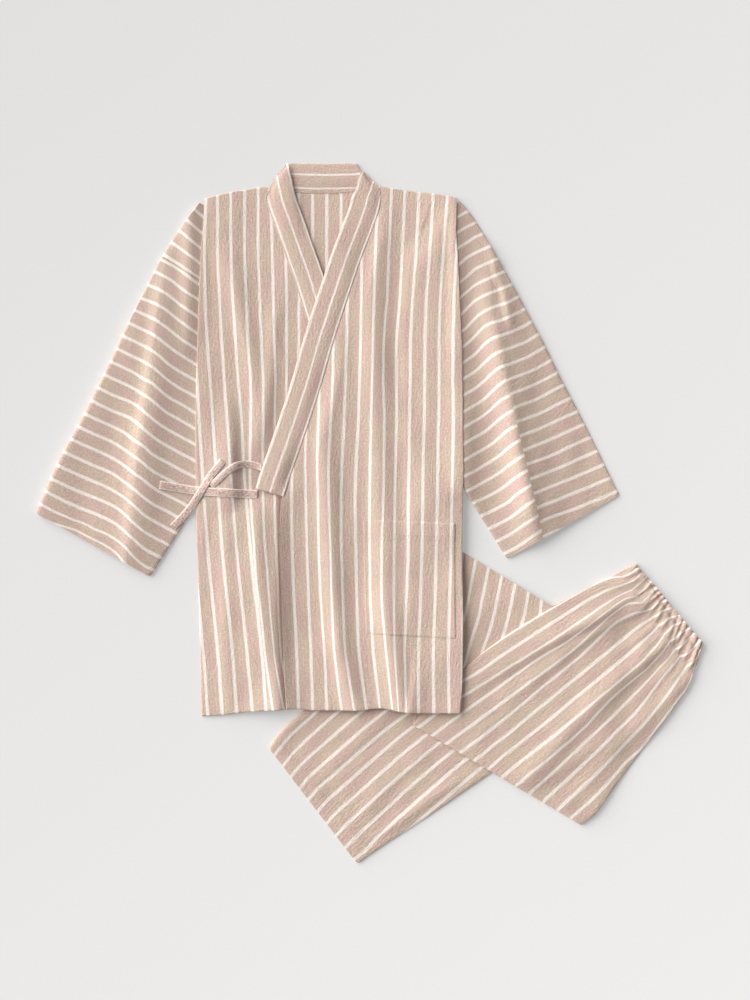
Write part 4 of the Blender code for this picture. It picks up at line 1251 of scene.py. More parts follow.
# %% Folds of the sleeves
RIGHT_SLEEVE_FOLDS = [
    Fold([(-357, -85, 1.5), (-351, -55, 4), (-342, 20, 6.5), (-335, 92, 6.5), (-323, 165, 6),
          (-313, 238, 5.5), (-304, 311, 4.5), (-298, 347, 3), (-292, 376, 2)], 11, 34),
    Fold([(-348, -85, 1.5), (-342, -50, 4), (-326, 92, 6), (-312, 165, 5.5), (-302, 238, 5),
          (-292, 311, 3), (-288, 347, 1)], 46, 46),
    Fold([(-486, 2, 6), (-456, 71, 6.5), (-416, 143, 6.5), (-376, 223, 6), (-338, 302, 5),
          (-320, 340, 2)], 6, 42),
    Fold([(-240, 20, 2.5), (-240, 107, 3), (-239, 180, 2.5), (-239, 238, 0)], 16, 12),
    Fold([(-264, 225, 0), (-263, 262, 3), (-263, 311, 4), (-262, 369, 5), (-262, 420, 5.5),
          (-262, 452, 5)], 12, 13)]
LEFT_SLEEVE_FOLDS = [
    Fold([(250, -66, 0.5), (244, -36, 2.5), (236, 5, 5), (226, 49, 5), (216, 92, 5), (209, 136, 4.5),
          (200, 180, 3.5), (191, 223, 3), (182, 267, 2.5), (175, 296, 2), (171, 340, 1.5),
          (162, 420, 0)], 20, 9),
    Fold([(250, -66, 0.5), (244, -36, 4), (236, 5, 10), (226, 49, 10), (216, 92, 10), (209, 136, 9),
          (200, 180, 9), (191, 223, 8.5), (182, 267, 7.5), (175, 296, 6.5), (171, 340, 5),
          (162, 420, 0)], 24, 34),
    Fold([(252, -66, 0.5), (248, -36, 2), (242, 5, 5.5), (232, 49, 5.5), (222, 92, 5.5), (212, 136, 5.5),
          (203, 180, 5), (195, 223, 4), (186, 267, 3.5), (178, 300, 2), (172, 340, 0)], 40, 58),
    Fold([(150, -20, 3), (137, 12, 9), (133, 63, 11.5), (132, 136, 11), (131, 180, 9), (130, 209, 7.5),
          (127, 311, 4.5), (122, 398, 3), (116, 449, 1.5)], 10, 22),
    Fold([(124, 180, 0), (127, 240, 3), (126, 320, 4), (123, 398, 4), (118, 440, 3)], 10, 10),
    Fold([(306, 10, 1), (298, 63, 1.2), (284, 136, 1.2), (262, 209, 1), (235, 267, 0)], 24, 14),
    Fold([(170, 410, 0), (176, 390, 3), (183, 350, 3), (187, 325, 0)], 9, 5),
    Fold([(188, 350, 0), (192, 335, 3.2), (201, 285, 3.2), (206, 262, 0)], 10, 5)]
print("highest crest:", max(point[2] for fold in LEFT_SLEEVE_FOLDS for point in fold.crest), "mm")

# %% Stripes of the sleeves
RIGHT_SHOULDER_STRIPES = [
    Stripes(-300, 4, [376]),
    Stripes(-274, 2, [409, 384, 360]),
    Stripes(-249, 0, [437, 411, 388, 365, 342])]
RIGHT_SLEEVE_STRIPES = [
    Stripes(-459, 21, [49, 26, 3]),
    Stripes(-430, 18, [106, 83, 59, 35, 12, -10, -23]),
    Stripes(-400, 15, [162, 138, 115, 93, 69, 46, 23, 0, -23, -38]),
    Stripes(-371, 12, [218, 195, 171, 148, 125, 102, 79, 56, 32, 10, -14, -37, -55]),
    Stripes(-342, 9, [273, 250, 227, 204, 181, 159, 135, 106, 83, 58, 35, 11, -14, -38, -64]),
    Stripes(-328, 7, [311, 289, 266, 243, 220, 195, 172, 148, 123, 98, 73, 49, 23, -2, -26, -51, -76]),
    Stripes(-317, 6, [330, 307, 284, 261, 237, 214, 190, 165, 139, 113, 87, 63, 39, 15, -9, -33, -57, -81]),
    Stripes(-294, 4, [364, 342, 318, 294, 269, 244, 218, 194, 170, 146, 122, 98, 74, 50, 26, 3, -22, -45]),
    Stripes(-274, 4, [352, 327, 302, 278, 253, 230, 205, 181, 159, 135, 111, 87, 63, 39, 16, -9]),
    Stripes(-249, 4, [333, 311, 285, 261, 237, 214, 191, 167, 143, 120, 98, 74, 50])]
# As far as the lap
LEFT_SLEEVE_STRIPES = [
    Stripes(141, 0, [439, 417, 394, 372, 344, 322, 298, 271, 247, 223, 199, 175, 151, 128, 104, 80, 56, 33]),
    Stripes(151, 1, [422, 401, 378, 354, 331, 308, 282, 256, 230, 205, 181, 157, 134, 110, 86, 61, 38, 16]),
    Stripes(167, 3, [385, 362, 339, 317, 294, 272, 247, 220, 194, 167, 144, 119, 95, 71, 47, 23, -1]),
    Stripes(189, 5, [349, 326, 303, 280, 258, 235, 212, 188, 164, 138, 111, 85, 60, 35, 10, -14, -38]),
    Stripes(201, 6, [331, 307, 285, 262, 239, 216, 195, 170, 146, 122, 96, 70, 44, 17, -8, -32, -55]),
    Stripes(213, 15, [127, 104, 79, 54, 28, 1, -24, -49]),
    Stripes(226, 18, [61, 37, 12, -14, -40]),
    Stripes(240, 21, [-5, -30])]
BEYOND_LAP_STRIPES = [
    Stripes(213, 7, [314, 291, 267, 244, 221, 199, 177, 155, 133]),
    Stripes(226, 9, [274, 249, 226, 204, 182, 160, 138, 116, 93, 71]),
    Stripes(240, 10, [258, 234, 210, 188, 165, 143, 121, 99, 76, 53, 30, 8]),
    Stripes(269, 13, [203, 181, 157, 134, 111, 87, 64, 42, 19, -3]),
    Stripes(298, 16, [147, 124, 101, 77, 53, 31, 7]),
    Stripes(328, 19, [90, 66, 43, 19]),
    Stripes(342, 21, [49, 25])]
SHOULDER_STIFFNESS = 0.04
print("marks on the left sleeve:", len(marks_of(LEFT_SLEEVE_STRIPES + BEYOND_LAP_STRIPES)))

# %% Stripe count on a sleeve, with and without a lap
LAP_TOP = 195  # the lap begins this far up the left sleeve
LAP_MERGE = 70  # and both counts become one over this length above it
LAP_START = Point(195.8, 200)  # a point on the lap
LAP_LEAN = 57 / 240  # how far the lap moves right for each step down


def beyond_lap(x, y):
    """How far right of the left sleeve's lap a point lies."""
    return x - (LAP_START.x + (LAP_START.y - y) * LAP_LEAN)


def plain_sleeve(chart, stiff=PLATE_STIFFNESS):
    return lambda x, y: [plate(x, y, marks_of(chart), stiff)]


def lapped_sleeve(x, y):
    """Count left of the lap, count beyond it, and how far beyond."""
    near, far = marks_of(LEFT_SLEEVE_STRIPES), marks_of(BEYOND_LAP_STRIPES)
    before = plate(x, y, near + [m for m in far if m.y > LAP_TOP])
    beyond = plate(x, y, far + [m for m in near if m.y > LAP_TOP])
    merged = np.clip((y - LAP_TOP) / LAP_MERGE, 0, 1)
    both = (before + beyond) / 2
    return [blend(before, both, merged), blend(beyond, both, merged), beyond_lap(x, y)]


before, beyond, _ = lapped_sleeve(np.array([240.0]), np.array([70.0]))
print("stripes hidden at the lap:", round(float((beyond - before)[0]), 2))

# %% Lay the sleeves and shoulders
CUFF_HEM = 13
MOUTH_RISE = 1.2  # how far a cuff stands open
MOUTH_DEPTH = 45  # how far up the sleeve that shows
SLEEVE_DEPTH = 0.2  # metres across a sleeve, for the weave


def add_sleeve(name, node, spans, folds, seed, count_at, hem=CUFF_HEM):
    cuff = spans[-1]

    def rise(x, y, place):
        lift = folds_at(x, y, folds) + crinkled(x, y, 13, 26, seed, 0.35)
        if hem:
            away = np.hypot(x - blend(cuff.left_x, cuff.right_x, place),
                            y - blend(cuff.left_y, cuff.right_y, place))
            lift += MOUTH_RISE * np.exp(-(away / MOUTH_DEPTH) ** 2) * np.sin(pi * np.clip(place, 0, 1))
        return lift

    outer, inner, (x, y, place, _), _ = flat_tube(spans, rise, hem)
    count, *beyond = count_at(x, y)
    uv = np.stack([count, place * SLEEVE_DEPTH, *beyond], -1)
    made = add_tube(name, outer, inner, uv, STRIPED)
    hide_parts(node)


add_sleeve("right_shoulder_cloth", "shoulder_right", RIGHT_SHOULDER, RIGHT_SLEEVE_FOLDS, 43,
           plain_sleeve(RIGHT_SHOULDER_STRIPES, SHOULDER_STIFFNESS), None)
add_sleeve("left_shoulder_cloth", "shoulder_left", LEFT_SHOULDER, LEFT_SLEEVE_FOLDS, 44,
           lapped_sleeve, None)
add_sleeve("right_sleeve_cloth", "sleeve_right", RIGHT_SLEEVE, RIGHT_SLEEVE_FOLDS, 43,
           plain_sleeve(RIGHT_SLEEVE_STRIPES))
add_sleeve("left_sleeve_cloth", "sleeve_left", LEFT_SLEEVE, LEFT_SLEEVE_FOLDS, 44,
           lapped_sleeve)

# %% [markdown]
# ## The collar band
# A band of doubled cloth is sewn over the neck edge of each front, with its stripes along it, and a
# third stretch runs across the back of the neck, below the other two.  Its sewn edge laps a little over
# the panel, so each stretch is laid after its panel.  It bridges the small folds below it, but its sewn
# edge is drawn down to them and is thinner.

# %% Form of a collar stretch
LAP = 2.2  # how far the collar's sewn edge laps over the front
ACROSS_COLLAR = steps(COLLAR_WIDTH + LAP, 2.6, (0, 0.5, 1.1, 2.0))
ALONG_COLLAR = 3.5  # from one row to the next
BRIDGES = 18  # how many points away from a bump the band is still lifted
DRAWN_DOWN = 9  # how far from its sewn edge the seam draws it down
THINNED = 1.4  # how much thinner the band is at its sewn edge
THINNING = 6  # and how far from it


def add_collar(name, node, spans, rises, folds, stripes, seed):
    fine, _, at = span_rows(spans, ALONG_COLLAR)
    width = np.hypot(fine[:, 2] - fine[:, 0], fine[:, 3] - fine[:, 1])[:, None]
    place = ACROSS_COLLAR[None, :] + 0 * width
    from_sewn = (1 - place) * width
    x, y = between_sides(fine, place)
    under = rises(x, y) + folds_at(x, y, folds) + np.maximum(0.2 * (rumple(x, y, 18, 30, seed) + 1), 0)
    sewn = np.exp(-(from_sewn / DRAWN_DOWN) ** 2)
    under = blend(laid_over(x, y, under, reach=BRIDGES), laid_over(x, y, under), sewn)
    thick = BAND - THINNED * np.exp(-(from_sewn / THINNING) ** 2)
    uv = np.stack([curve(stripes, place * width / COLLAR_WIDTH), at[:, None] * MM + 0 * place], -1)
    made = add_sheet(name, x, y, under, thick, uv, COLLAR)
    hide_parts(node)
    return x, y


print("band", COLLAR_WIDTH, "mm wide,", len(ACROSS_COLLAR), "points across")

# %% Lay the collar's back stretch
BACK_COLLAR = [Span(-120.5, 509.5, -139, 471), Span(-104, 510, -108, 466), Span(-70, 508.5, -72, 465.5),
               Span(-36, 509.5, -36, 466), Span(-18.5, 509, 2, 471)]
BACK_BAND_STRIPES = [(0.40, 0), (0.88, 1)]
back_collar = add_collar("back_collar_cloth", "collar_back", BACK_COLLAR, lambda x, y: 0 * x,
                         [], BACK_BAND_STRIPES, 63)

# %% [markdown]
# ## The right front and its collar
# The right front goes on first, then its stretch of collar, then the left front, whose edge crosses
# both.  Each front has long soft folds from having been folded away, and small creases between them.

# %% Folds and stripes of the right front
RIGHT_FRONT_FOLDS = [
    Fold([(-169, 63, 0), (-166, 92, 3), (-163, 136, 4.5), (-166, 180, 5), (-172, 223, 5), (-181, 267, 4.5),
          (-192, 311, 4), (-204, 355, 3.5), (-210, 398, 0)], 14, 18),
    Fold([(-134, -285, 6.5), (-145, -199, 7), (-154, -126, 7), (-158, -68, 6.5), (-162, -2, 5),
          (-163, 34, 0)], 60, 24),
    Fold([(-138, -285, 2.5), (-149, -199, 2.5), (-159, -126, 2.5), (-163, -68, 2.5), (-165, -2, 2),
          (-166, 34, 0)], 9, 14),
    Fold([(-207, -272, 1.5), (-210, -199, 2.2), (-210, -126, 2.2), (-208, -53, 1.5),
          (-210, -9, 0)], 11, 14),
    Fold([(-204, 0, 0), (-203, 34, 9.5), (-202, 78, 9.5), (-202, 112, 6), (-205, 150, 2.5),
          (-210, 190, 0)], 26, 10),
    Fold([(-157, 92, 0), (-151, 136, 3), (-146, 180, 4), (-143, 238, 3.5), (-138, 285, 2),
          (-131, 311, 0)], 12, 11),
    Fold([(-242, -68, 0), (-242, -24, 1.6), (-243, 12, 0)], 5, 7),
    Fold([(-128, -285, 2.6), (-133, -184, 3), (-134.5, -68, 3), (-134.5, 23, 2.4), (-130, 48, 0)], 12, 3.5),
]
RIGHT_FRONT_CREASES = [Ridge(-230, 420, -222, 330, 8, 10, 0.7), Ridge(-150, 300, -120, 200, 8, 9, 0.8),
                       Ridge(-235, 150, -228, 10, 9, 8, 0.8), Ridge(-190, -60, -182, -200, 7, 8, 0.7)]
RIGHT_FRONT_STRIPES = [
    Stripes(456.5, 0, [-238, -222, -202.5, -182.5, -162.5, -145]),
    Stripes(413, 0, [-240, -221.5, -202.5, -182.5, -163, -143]),
    Stripes(369, 0, [-240.5, -221.5, -202, -182, -162.5, -142, -122.5]),
    Stripes(311, 0, [-239.5, -218.5, -199.5, -179.5, -160.5, -140.5, -121, -103.5]),
    Stripes(252.5, 0, [-237, -215.5, -195.5, -177.5, -158, -139, -121.5, -103.5]),
    Stripes(194.5, -1, [-251, -232.5, -212, -192, -173, -155, -137, -121.5, -105]),
    Stripes(136, -1, [-248, -228.5, -207.5, -186.5, -173, -154.5, -138.5, -122.5]),
    Stripes(92.5, -1, [-245.5, -225.5, -204, -185, -174.5, -156, -138.5]),
    Stripes(49, -1, [-242.5, -222, -201.5, -182.5, -174.5, -155.5, -138.5]),
    Stripes(5, -1, [-240, -218.5, -198, -178.5, -172.5, -155, -138.5, -121]),
    Stripes(-38.5, -1, [-237, -216, -195, -174.5, -168.5, -153, -137, -119.5]),
    Stripes(-97, -1, [-232, -210.5, -189.5, -169, -165, -148, -134, -118]),
    Stripes(-155, -2, [-247, -226, -204, -183, -161.5, -156.5, -143.5, -132.5, -116.5]),
    Stripes(-213.5, -2, [-241.5, -220, -198.5, -177.5, -156, -151, -137.5, -129.5, -113.5]),
    Stripes(-271.5, -2, [-237.5, -216, -195, -172, -151.5, -142.5, -127, -113.5, -97.5])]
LAPPED_AFTER = 2  # beyond this stripe a fold of the right front laps over
print("right front folds:", len(RIGHT_FRONT_FOLDS), "rows of stripes:", len(RIGHT_FRONT_STRIPES))

# %% Underside of a front, and its area
FLAT_AT_NECK = 30  # how far from the collar's seam the folds begin


def front_under(x, y, rises, folds, creases, seed, neck=None):
    """Height of a front's underside; its folds flatten out where the collar is sewn to its neck side."""
    lift = folds_at(x, y, folds) + ridges_at(x, y, creases)
    if neck is not None:
        from_neck = np.clip((x - curve(neck, y)) / FLAT_AT_NECK, 0, 1)
        along_neck = np.clip((y - COLLAR_END) / FLAT_AT_NECK, 0, 1)
        lift = lift * (1 - along_neck * (1 - eased(from_neck)))
    lift += crinkled(x, y, 13, 34, seed) + 0.35 * rumple(x, y, 34, 90, seed + 1)
    return rises(x, y) + np.maximum(lift, 0)


def area_of(x, y):
    """Plan area of a grid in square metres."""
    dx1, dy1 = x[1:, 1:] - x[:-1, :-1], y[1:, 1:] - y[:-1, :-1]
    dx2, dy2 = x[:-1, 1:] - x[1:, :-1], y[:-1, 1:] - y[1:, :-1]
    return float(np.abs(dx1 * dy2 - dy1 * dx2).sum() / 2) * MM * MM


print("a square of 100 mm has", round(area_of(*np.meshgrid([0.0, 100.0], [0.0, 100.0])), 4), "square metres")

# %% Lay the right front
RIGHT_FRONT_WIDTH = 265
FRONT_STEP = 3.4
FRONT_HEM = 14.5
FRONT_REACH = 4  # how many points away from a bump a front is still lifted
x, y, from_hem = body_grid(RIGHT_SIDES, RIGHT_FRONT_WIDTH, FRONT_STEP)
under = front_under(x, y, right_front_level, RIGHT_FRONT_FOLDS, RIGHT_FRONT_CREASES, 51)
under = laid_over(x, y, under, reach=FRONT_REACH)
thick = CLOTH + hem_rise(from_hem, FRONT_HEM)
count, beyond, side = lapped(x, y, RIGHT_FRONT_STRIPES, STRIPE_PITCH, LAPPED_AFTER)
uv = np.stack([count, y * MM, beyond, side], -1)
right_front = add_sheet("right_front_cloth", x, y, under, thick, uv, STRIPED)
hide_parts("front_right")
right_grid = x, y

# %% Lay the collar's right stretch
RIGHT_CORNER = [Span(-119, 509, -121.5, 508), Span(-117, 500, -129, 496.5), Span(-115, 493, -140, 489.5)]
RIGHT_BAND_STRIPES = [(0.04, 0), (0.5, 1), (0.97, 2)]
RIGHT_BAND_FOLDS = [Fold([(-104, 400, 0), (-108, 430, 2), (-114, 465, 4), (-119, 505, 5)], 30, 7)]
COLLAR_ROW = 14.433  # from one row across a collar to the next, up the set


def collar_spans(corner, neck_side, side):
    """Rows across a collar stretch, from its free edge to its sewn edge."""
    y = np.arange(BODY_TOP, COLLAR_END - 1, -COLLAR_ROW)
    x = curve(neck_side, y)
    run_x, run_y = np.gradient(x), np.gradient(y)
    length = np.hypot(run_x, run_y)
    off_x, off_y = -run_y / length * side, run_x / length * side
    free = x + off_x * COLLAR_WIDTH, y + off_y * COLLAR_WIDTH
    return corner + [Span(*row) for row in np.column_stack([*free, x - off_x * LAP, y - off_y * LAP])]


right_collar = add_collar("right_collar_cloth", "collar_right", collar_spans(RIGHT_CORNER, RIGHT_SIDES[1], 1),
                          right_front_level, RIGHT_BAND_FOLDS, RIGHT_BAND_STRIPES, 61)

# %% [markdown]
# ## The left front and its collar
# The left front covers the right one.  Its overlap edge is pressed thin, and its folds die out toward
# the collar's seam, which holds the cloth flat.

# %% Folds and stripes of the left front
LEFT_FRONT_FOLDS = [
    Fold([(49, -285, 7.5), (44, -257, 7.5), (30, -184, 7.5), (21, -126, 7), (19, -53, 6.5), (17, 20, 5.5),
          (13, 92, 5), (9, 165, 5.5), (6, 238, 5.5), (7, 311, 5), (7, 384, 4), (6, 462, 2)], 18, 23),
    Fold([(-22, -285, 6), (-33, -242, 7), (-45, -184, 7.5), (-51, -126, 7), (-57, -68, 6.5), (-61, -9, 6),
          (-63, 49, 6), (-67, 107, 5), (-65, 140, 4), (-58, 194, 3.5), (-51, 267, 3), (-47, 311, 0)], 16, 18),
    Fold([(80, -280, 2), (64, -184, 2.5), (61, -68, 2.5), (61, 20, 2.5), (58, 92, 3), (57, 165, 3.5),
          (51, 238, 3.5), (55, 311, 3.5), (61, 369, 3), (73, 405, 0)], 11, 45),
    Fold([(-127, -285, 7), (-133, -184, 8), (-135, -68, 7.5), (-135, 23, 5), (-128, 48, 0)], 7, 17),
    Fold([(-126, -285, 2.5), (-131, -184, 3), (-134, -68, 3), (-134, 23, 2), (-127, 48, 0)], 5, 7),
    Fold([(111, -90, 0), (111, -39, 1.2), (111, 34, 1.2), (111, 85, 0)], 8, 10),
    Fold([(66, 343, 0), (84, 376, 2), (108, 420, 2.2), (119, 448, 1)], 13, 22),
    Fold([(134, -285, 4), (136, -200, 5), (136, -100, 4), (136, -20, 4), (136, 60, 6), (136, 107, 6),
          (134, 160, 5.5), (132, 230, 4.5), (130, 282, 3.5), (127, 369, 2), (121, 449, 1)], 58, 8),
]
LEFT_FRONT_CREASES = [Ridge(-40, 250, -58, 110, 9, 8, 0.8), Ridge(100, 420, 96, 300, 9, 10, 0.8),
                      Ridge(-20, 80, -22, -60, 8, 9, 0.7), Ridge(45, 200, 40, 60, 9, 8, 0.8),
                      Ridge(-55, -80, -46, -220, 8, 9, 0.8), Ridge(112, 200, 108, 60, 8, 9, 0.7)]
LEFT_FRONT_STRIPES = [
    Stripes(449, 6, [11, 30.5, 50, 70.5, 91, 111.5, 131]),
    Stripes(383.5, 6, [8, 27.5, 47, 67.5, 87, 106.5, 125.5]),
    Stripes(311, 4, [-32.5, -12.5, 6, 25, 43.5, 61.5, 81.5, 102, 122]),
    Stripes(252.5, 3, [-53, -34, -13.5, 4.5, 19.5, 38, 58.5, 80, 100, 120.5]),
    Stripes(194.5, 2, [-73, -54, -35.5, -15, 3, 19, 38, 58.5, 79.5, 100.5, 120]),
    Stripes(136, 1, [-92, -75, -57, -37.5, -16.5, 1.5, 21, 39, 57, 79, 99.5, 121]),
    Stripes(78, 0, [-112, -94.5, -77, -60.5, -40.5, -20, 0, 20.5, 37, 57, 77, 98.5, 120]),
    Stripes(19.5, 0, [-114.5, -93, -75.5, -60, -42, -22, -0.5, 19.5, 36, 55.5, 76.5, 97.5, 118.5]),
    Stripes(-53, 0, [-113, -91.5, -74.5, -57, -42, -20.5, -0.5, 16.5, 35, 55.5, 75.5, 96, 117.5, 137]),
    Stripes(-126, 0, [-110.5, -89, -71.5, -55.5, -39.5, -19, 0.5, 16.5, 34.5, 52.5, 73, 94.5, 115.5, 135.5]),
    Stripes(-198.5, 0, [-106.5, -86, -66, -52.5, -36.5, -17, 4.5, 23.5, 35.5, 49.5, 70, 91.5, 113.5, 134.5]),
    Stripes(-271.5, 0, [-104, -83.5, -63, -43, -25, -7, 13, 31.5, 40, 51.5, 70, 92, 114.5, 133.5])]
print("left front folds:", len(LEFT_FRONT_FOLDS), "rows of stripes:", len(LEFT_FRONT_STRIPES))

# %% Lay the left front
LEFT_FRONT_WIDTH = 250
EDGE_PRESSED = 0.85  # how much thinner the overlap edge is
EDGE_HALF = 3.5  # and how far in from it
x, y, from_hem = body_grid(LEFT_SIDES, LEFT_FRONT_WIDTH, FRONT_STEP)
under = front_under(x, y, left_front_level, LEFT_FRONT_FOLDS, LEFT_FRONT_CREASES, 53, LEFT_SIDES[0])
under = laid_over(x, y, under, reach=FRONT_REACH)
thick = CLOTH + hem_rise(from_hem, FRONT_HEM) - EDGE_PRESSED * np.exp(-((x - x[:, :1]) / EDGE_HALF) ** 2)
uv = np.stack([charted(x, y, LEFT_FRONT_STRIPES), y * MM], -1)
left_front = add_sheet("left_front_cloth", x, y, under, thick, uv, STRIPED)
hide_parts("front_left")
left_grid = x, y
left_front_tree = LAID[-1]

# %% Lay the collar's left stretch
LEFT_CORNER = [Span(-12.5, 498.5, -10.3, 498.7), Span(-15.3, 491.4, -1.8, 491.2),
               Span(-18.2, 483.4, 4.8, 482.6), Span(-20, 470, 16, 474)]
LEFT_BAND_STRIPES = [(0.06, 0), (0.55, 1), (1.0, 2)]
left_collar = add_collar("left_collar_cloth", "collar_left", collar_spans(LEFT_CORNER, LEFT_SIDES[0], -1),
                         left_front_level, [], LEFT_BAND_STRIPES, 62)

# %% [markdown]
# ## The patch pocket
# A patch pocket sits low on the left front.  Its stripes meet those of the front, so it reads the same
# chart.  Its mouth has a hem stitched twice.

# %% Lay the pocket
POCKET_CLOTH = 0.6  # it is pressed flat, so it is thinner than the crinkled cotton
POCKET_WIDTH = 131
POCKET_STEP = 3.0
POCKET_HEM = 26.0
POCKET = [Span(-9.5, -9, 123.5, -14), Span(-8.5, -90, 123, -92), Span(-6, -174, 124, -181)]
fine, row, at = span_rows(POCKET, POCKET_STEP)
place = steps(POCKET_WIDTH, POCKET_STEP, (0, 0.5, 1.2, 2.2))[None, :] + 0 * row[:, None]
x, y = between_sides(fine, place)
under = laid_over(x, y, 0 * x, [left_front_tree], 0)
uv = np.stack([charted(x, y, LEFT_FRONT_STRIPES), y * MM], -1)
thick = POCKET_CLOTH + hem_rise(at, POCKET_HEM)[:, None] + 0 * x
pocket = add_sheet("pocket_cloth", x, y, under, thick, uv, STRIPED)
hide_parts("pocket")
pocket_grid = x, y

# %% [markdown]
# ## The ties
# Narrow ties of the same yarns hold the wrap closed.  One comes out from under the collar's end and one
# from the other side, and a third lies across that one.

# %% Routes of the ties
Strip = namedtuple("Strip", "x y z")
CROSS_TIE = [Strip(-305, 42, 3.3), Strip(-290, 39, 3.5), Strip(-272, 36, 4.4), Strip(-258, 34, 5.4),
             Strip(-240, 32, 5.7), Strip(-222, 31, 5.6), Strip(-204, 30, 5.0), Strip(-184, 29, 4.4),
             Strip(-163, 28, 3.9)]
OVER_TIE = [Strip(-213.3, 76.4, 7.0), Strip(-221, 67, 7.4), Strip(-229.6, 57.2, 7.8),
            Strip(-237.5, 45, 8.0), Strip(-245.2, 32.3, 8.2), Strip(-253, 20, 7.6), Strip(-261.7, 7.4, 6.4),
            Strip(-273, -6, 5.0), Strip(-286.4, -19.5, 3.8)]
FRONT_TIE = [Strip(-157, 67, 4.6), Strip(-167, 70, 4.6), Strip(-178, 72.5, 4.8), Strip(-188, 72.5, 5.0),
             Strip(-198, 68, 5.2), Strip(-207, 61, 5.4), Strip(-216, 53, 5.6), Strip(-224, 46, 5.6),
             Strip(-231, 39, 5.4)]
print("points along the ties:", [len(route) for route in (CROSS_TIE, OVER_TIE, FRONT_TIE)])

# %% Lay the ties
TIE_CLOTH = 0.9
TIE_ROUND = 0.9  # how much higher a tie is along its middle
TIE_RIMS = (0, 0.35, 0.8, 1.4)
CURL = 0.5  # how far a tie's edges curl up
CURL_LENGTH = 21  # how slowly that comes and goes along it
SINK = 1.0  # ties press into the soft layers below them


def add_tie(name, node, path, width, seed):
    table = np.array(path, float)
    far = path_length(table)
    at = steps(far[-1], 2.5) * far[-1]
    middle = [curve(soft_line(np.column_stack([far, table[:, k]]), 6, 1.0), at) for k in (0, 1)]
    run_x, run_y = np.gradient(middle[0], at), np.gradient(middle[1], at)
    length = np.hypot(run_x, run_y)
    across = steps(width, 1.6, TIE_RIMS)[None, :]
    off = (across - 0.5) * width
    x = middle[0][:, None] - (run_y / length)[:, None] * off
    y = middle[1][:, None] + (run_x / length)[:, None] * off
    from_middle = np.abs(2 * across - 1)
    curl = CURL * np.sin(at / CURL_LENGTH + seed)[:, None] * from_middle ** 2
    under = np.interp(at, far, table[:, 2])[:, None] - SINK + np.maximum(curl, 0) + 0 * x
    uv = np.stack([across + 0 * x, at[:, None] * MM + 0 * x], -1)
    thick = TIE_CLOTH + TIE_ROUND * (1 - from_middle ** 2) + 0 * x
    made = add_sheet(name, x, y, laid_over(x, y, under), thick, uv, PLAIN)
    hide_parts(node)


add_tie("front_tie_cloth", "tie_front", FRONT_TIE, 10.0, 1)
add_tie("cross_tie_cloth", "tie_cross", CROSS_TIE, 12.5, 2)
add_tie("over_tie_cloth", "tie_over", OVER_TIE, 10.8, 3)

# %% [markdown]
# ## Stitches
# Machine stitches hold every hem and seam.  They are small, but they catch the light, so each one is a
# little rounded piece of thread that lies on the cloth below it.

# %% One stitch
STITCH = 3.4  # from one stitch to the next
STITCH_SHOWS = 2.3  # how much of it lies on top
STITCH_HALF = 1.2  # where the cloth below is measured, each way from its middle
THREAD_RADIUS = 0.26
THREAD_LIFT = 0.12  # how far its middle line lies above the cloth
RING = 5


def stitch_form():
    """Points of a stitch one unit long and of radius one, and its triangles."""
    turn = np.arange(RING) * 2 * pi / RING
    rings = [(end, np.cos(a), np.sin(a)) for end in (-0.3, 0.3) for a in turn]
    points = np.array([(-0.5, 0, 0)] + rings + [(0.5, 0, 0)])
    tip = len(points) - 1
    faces = []
    for k in range(RING):
        n = (k + 1) % RING
        faces += [(0, 1 + n, 1 + k), (1 + k, 1 + n, 1 + RING + n), (1 + k, 1 + RING + n, 1 + RING + k),
                  (tip, 1 + RING + k, 1 + RING + n)]
    return points, np.array(faces)


print("thread", 2 * THREAD_RADIUS, "mm thick, triangles of a stitch:", len(stitch_form()[1]))


# %% Sew along paths
def add_stitches(name, paths):
    """Small rounded stitches along paths of (x, y), each lying on what is below it."""
    shape, one = stitch_form()
    points, faces = [], []
    for path in paths:
        path = np.asarray(path, float)
        far = path_length(path)
        at = np.arange(STITCH / 2, far[-1], STITCH)
        ends = [np.stack([np.interp(at + s, far, path[:, k]) for k in (0, 1)], -1)
                for s in (-STITCH_HALF, STITCH_HALF)]
        ends = [np.column_stack([e, height_below(e[:, 0], e[:, 1]) + THREAD_LIFT]) for e in ends]
        along = ends[1] - ends[0]
        along /= np.linalg.norm(along, axis=1)[:, None]
        side = np.cross((0, 0, 1), along)
        side /= np.linalg.norm(side, axis=1)[:, None]
        up = np.cross(along, side)
        middle = (ends[0] + ends[1]) / 2
        for k in range(len(at)):
            faces.append(one + len(points) * len(shape))
            points.append(middle[k] + shape[:, :1] * STITCH_SHOWS * along[k]
                          + THREAD_RADIUS * (shape[:, 1:2] * side[k] + shape[:, 2:] * up[k]))
    points, faces = np.concatenate(points), np.concatenate(faces)
    made = add_mesh(name, points, faces, THREAD)
    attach(made, "root")
    print(name, "has", len(points) // len(shape), "stitches")


def along_column(grid, column):
    """A path down one column of a grid, short of its ends."""
    return np.column_stack([values[2:-2, column] for values in grid])


def along_row(grid, row):
    """A path across one row of a grid, short of its ends."""
    return np.column_stack([values[row, 2:-2] for values in grid])


print("stitches are", STITCH, "mm apart")

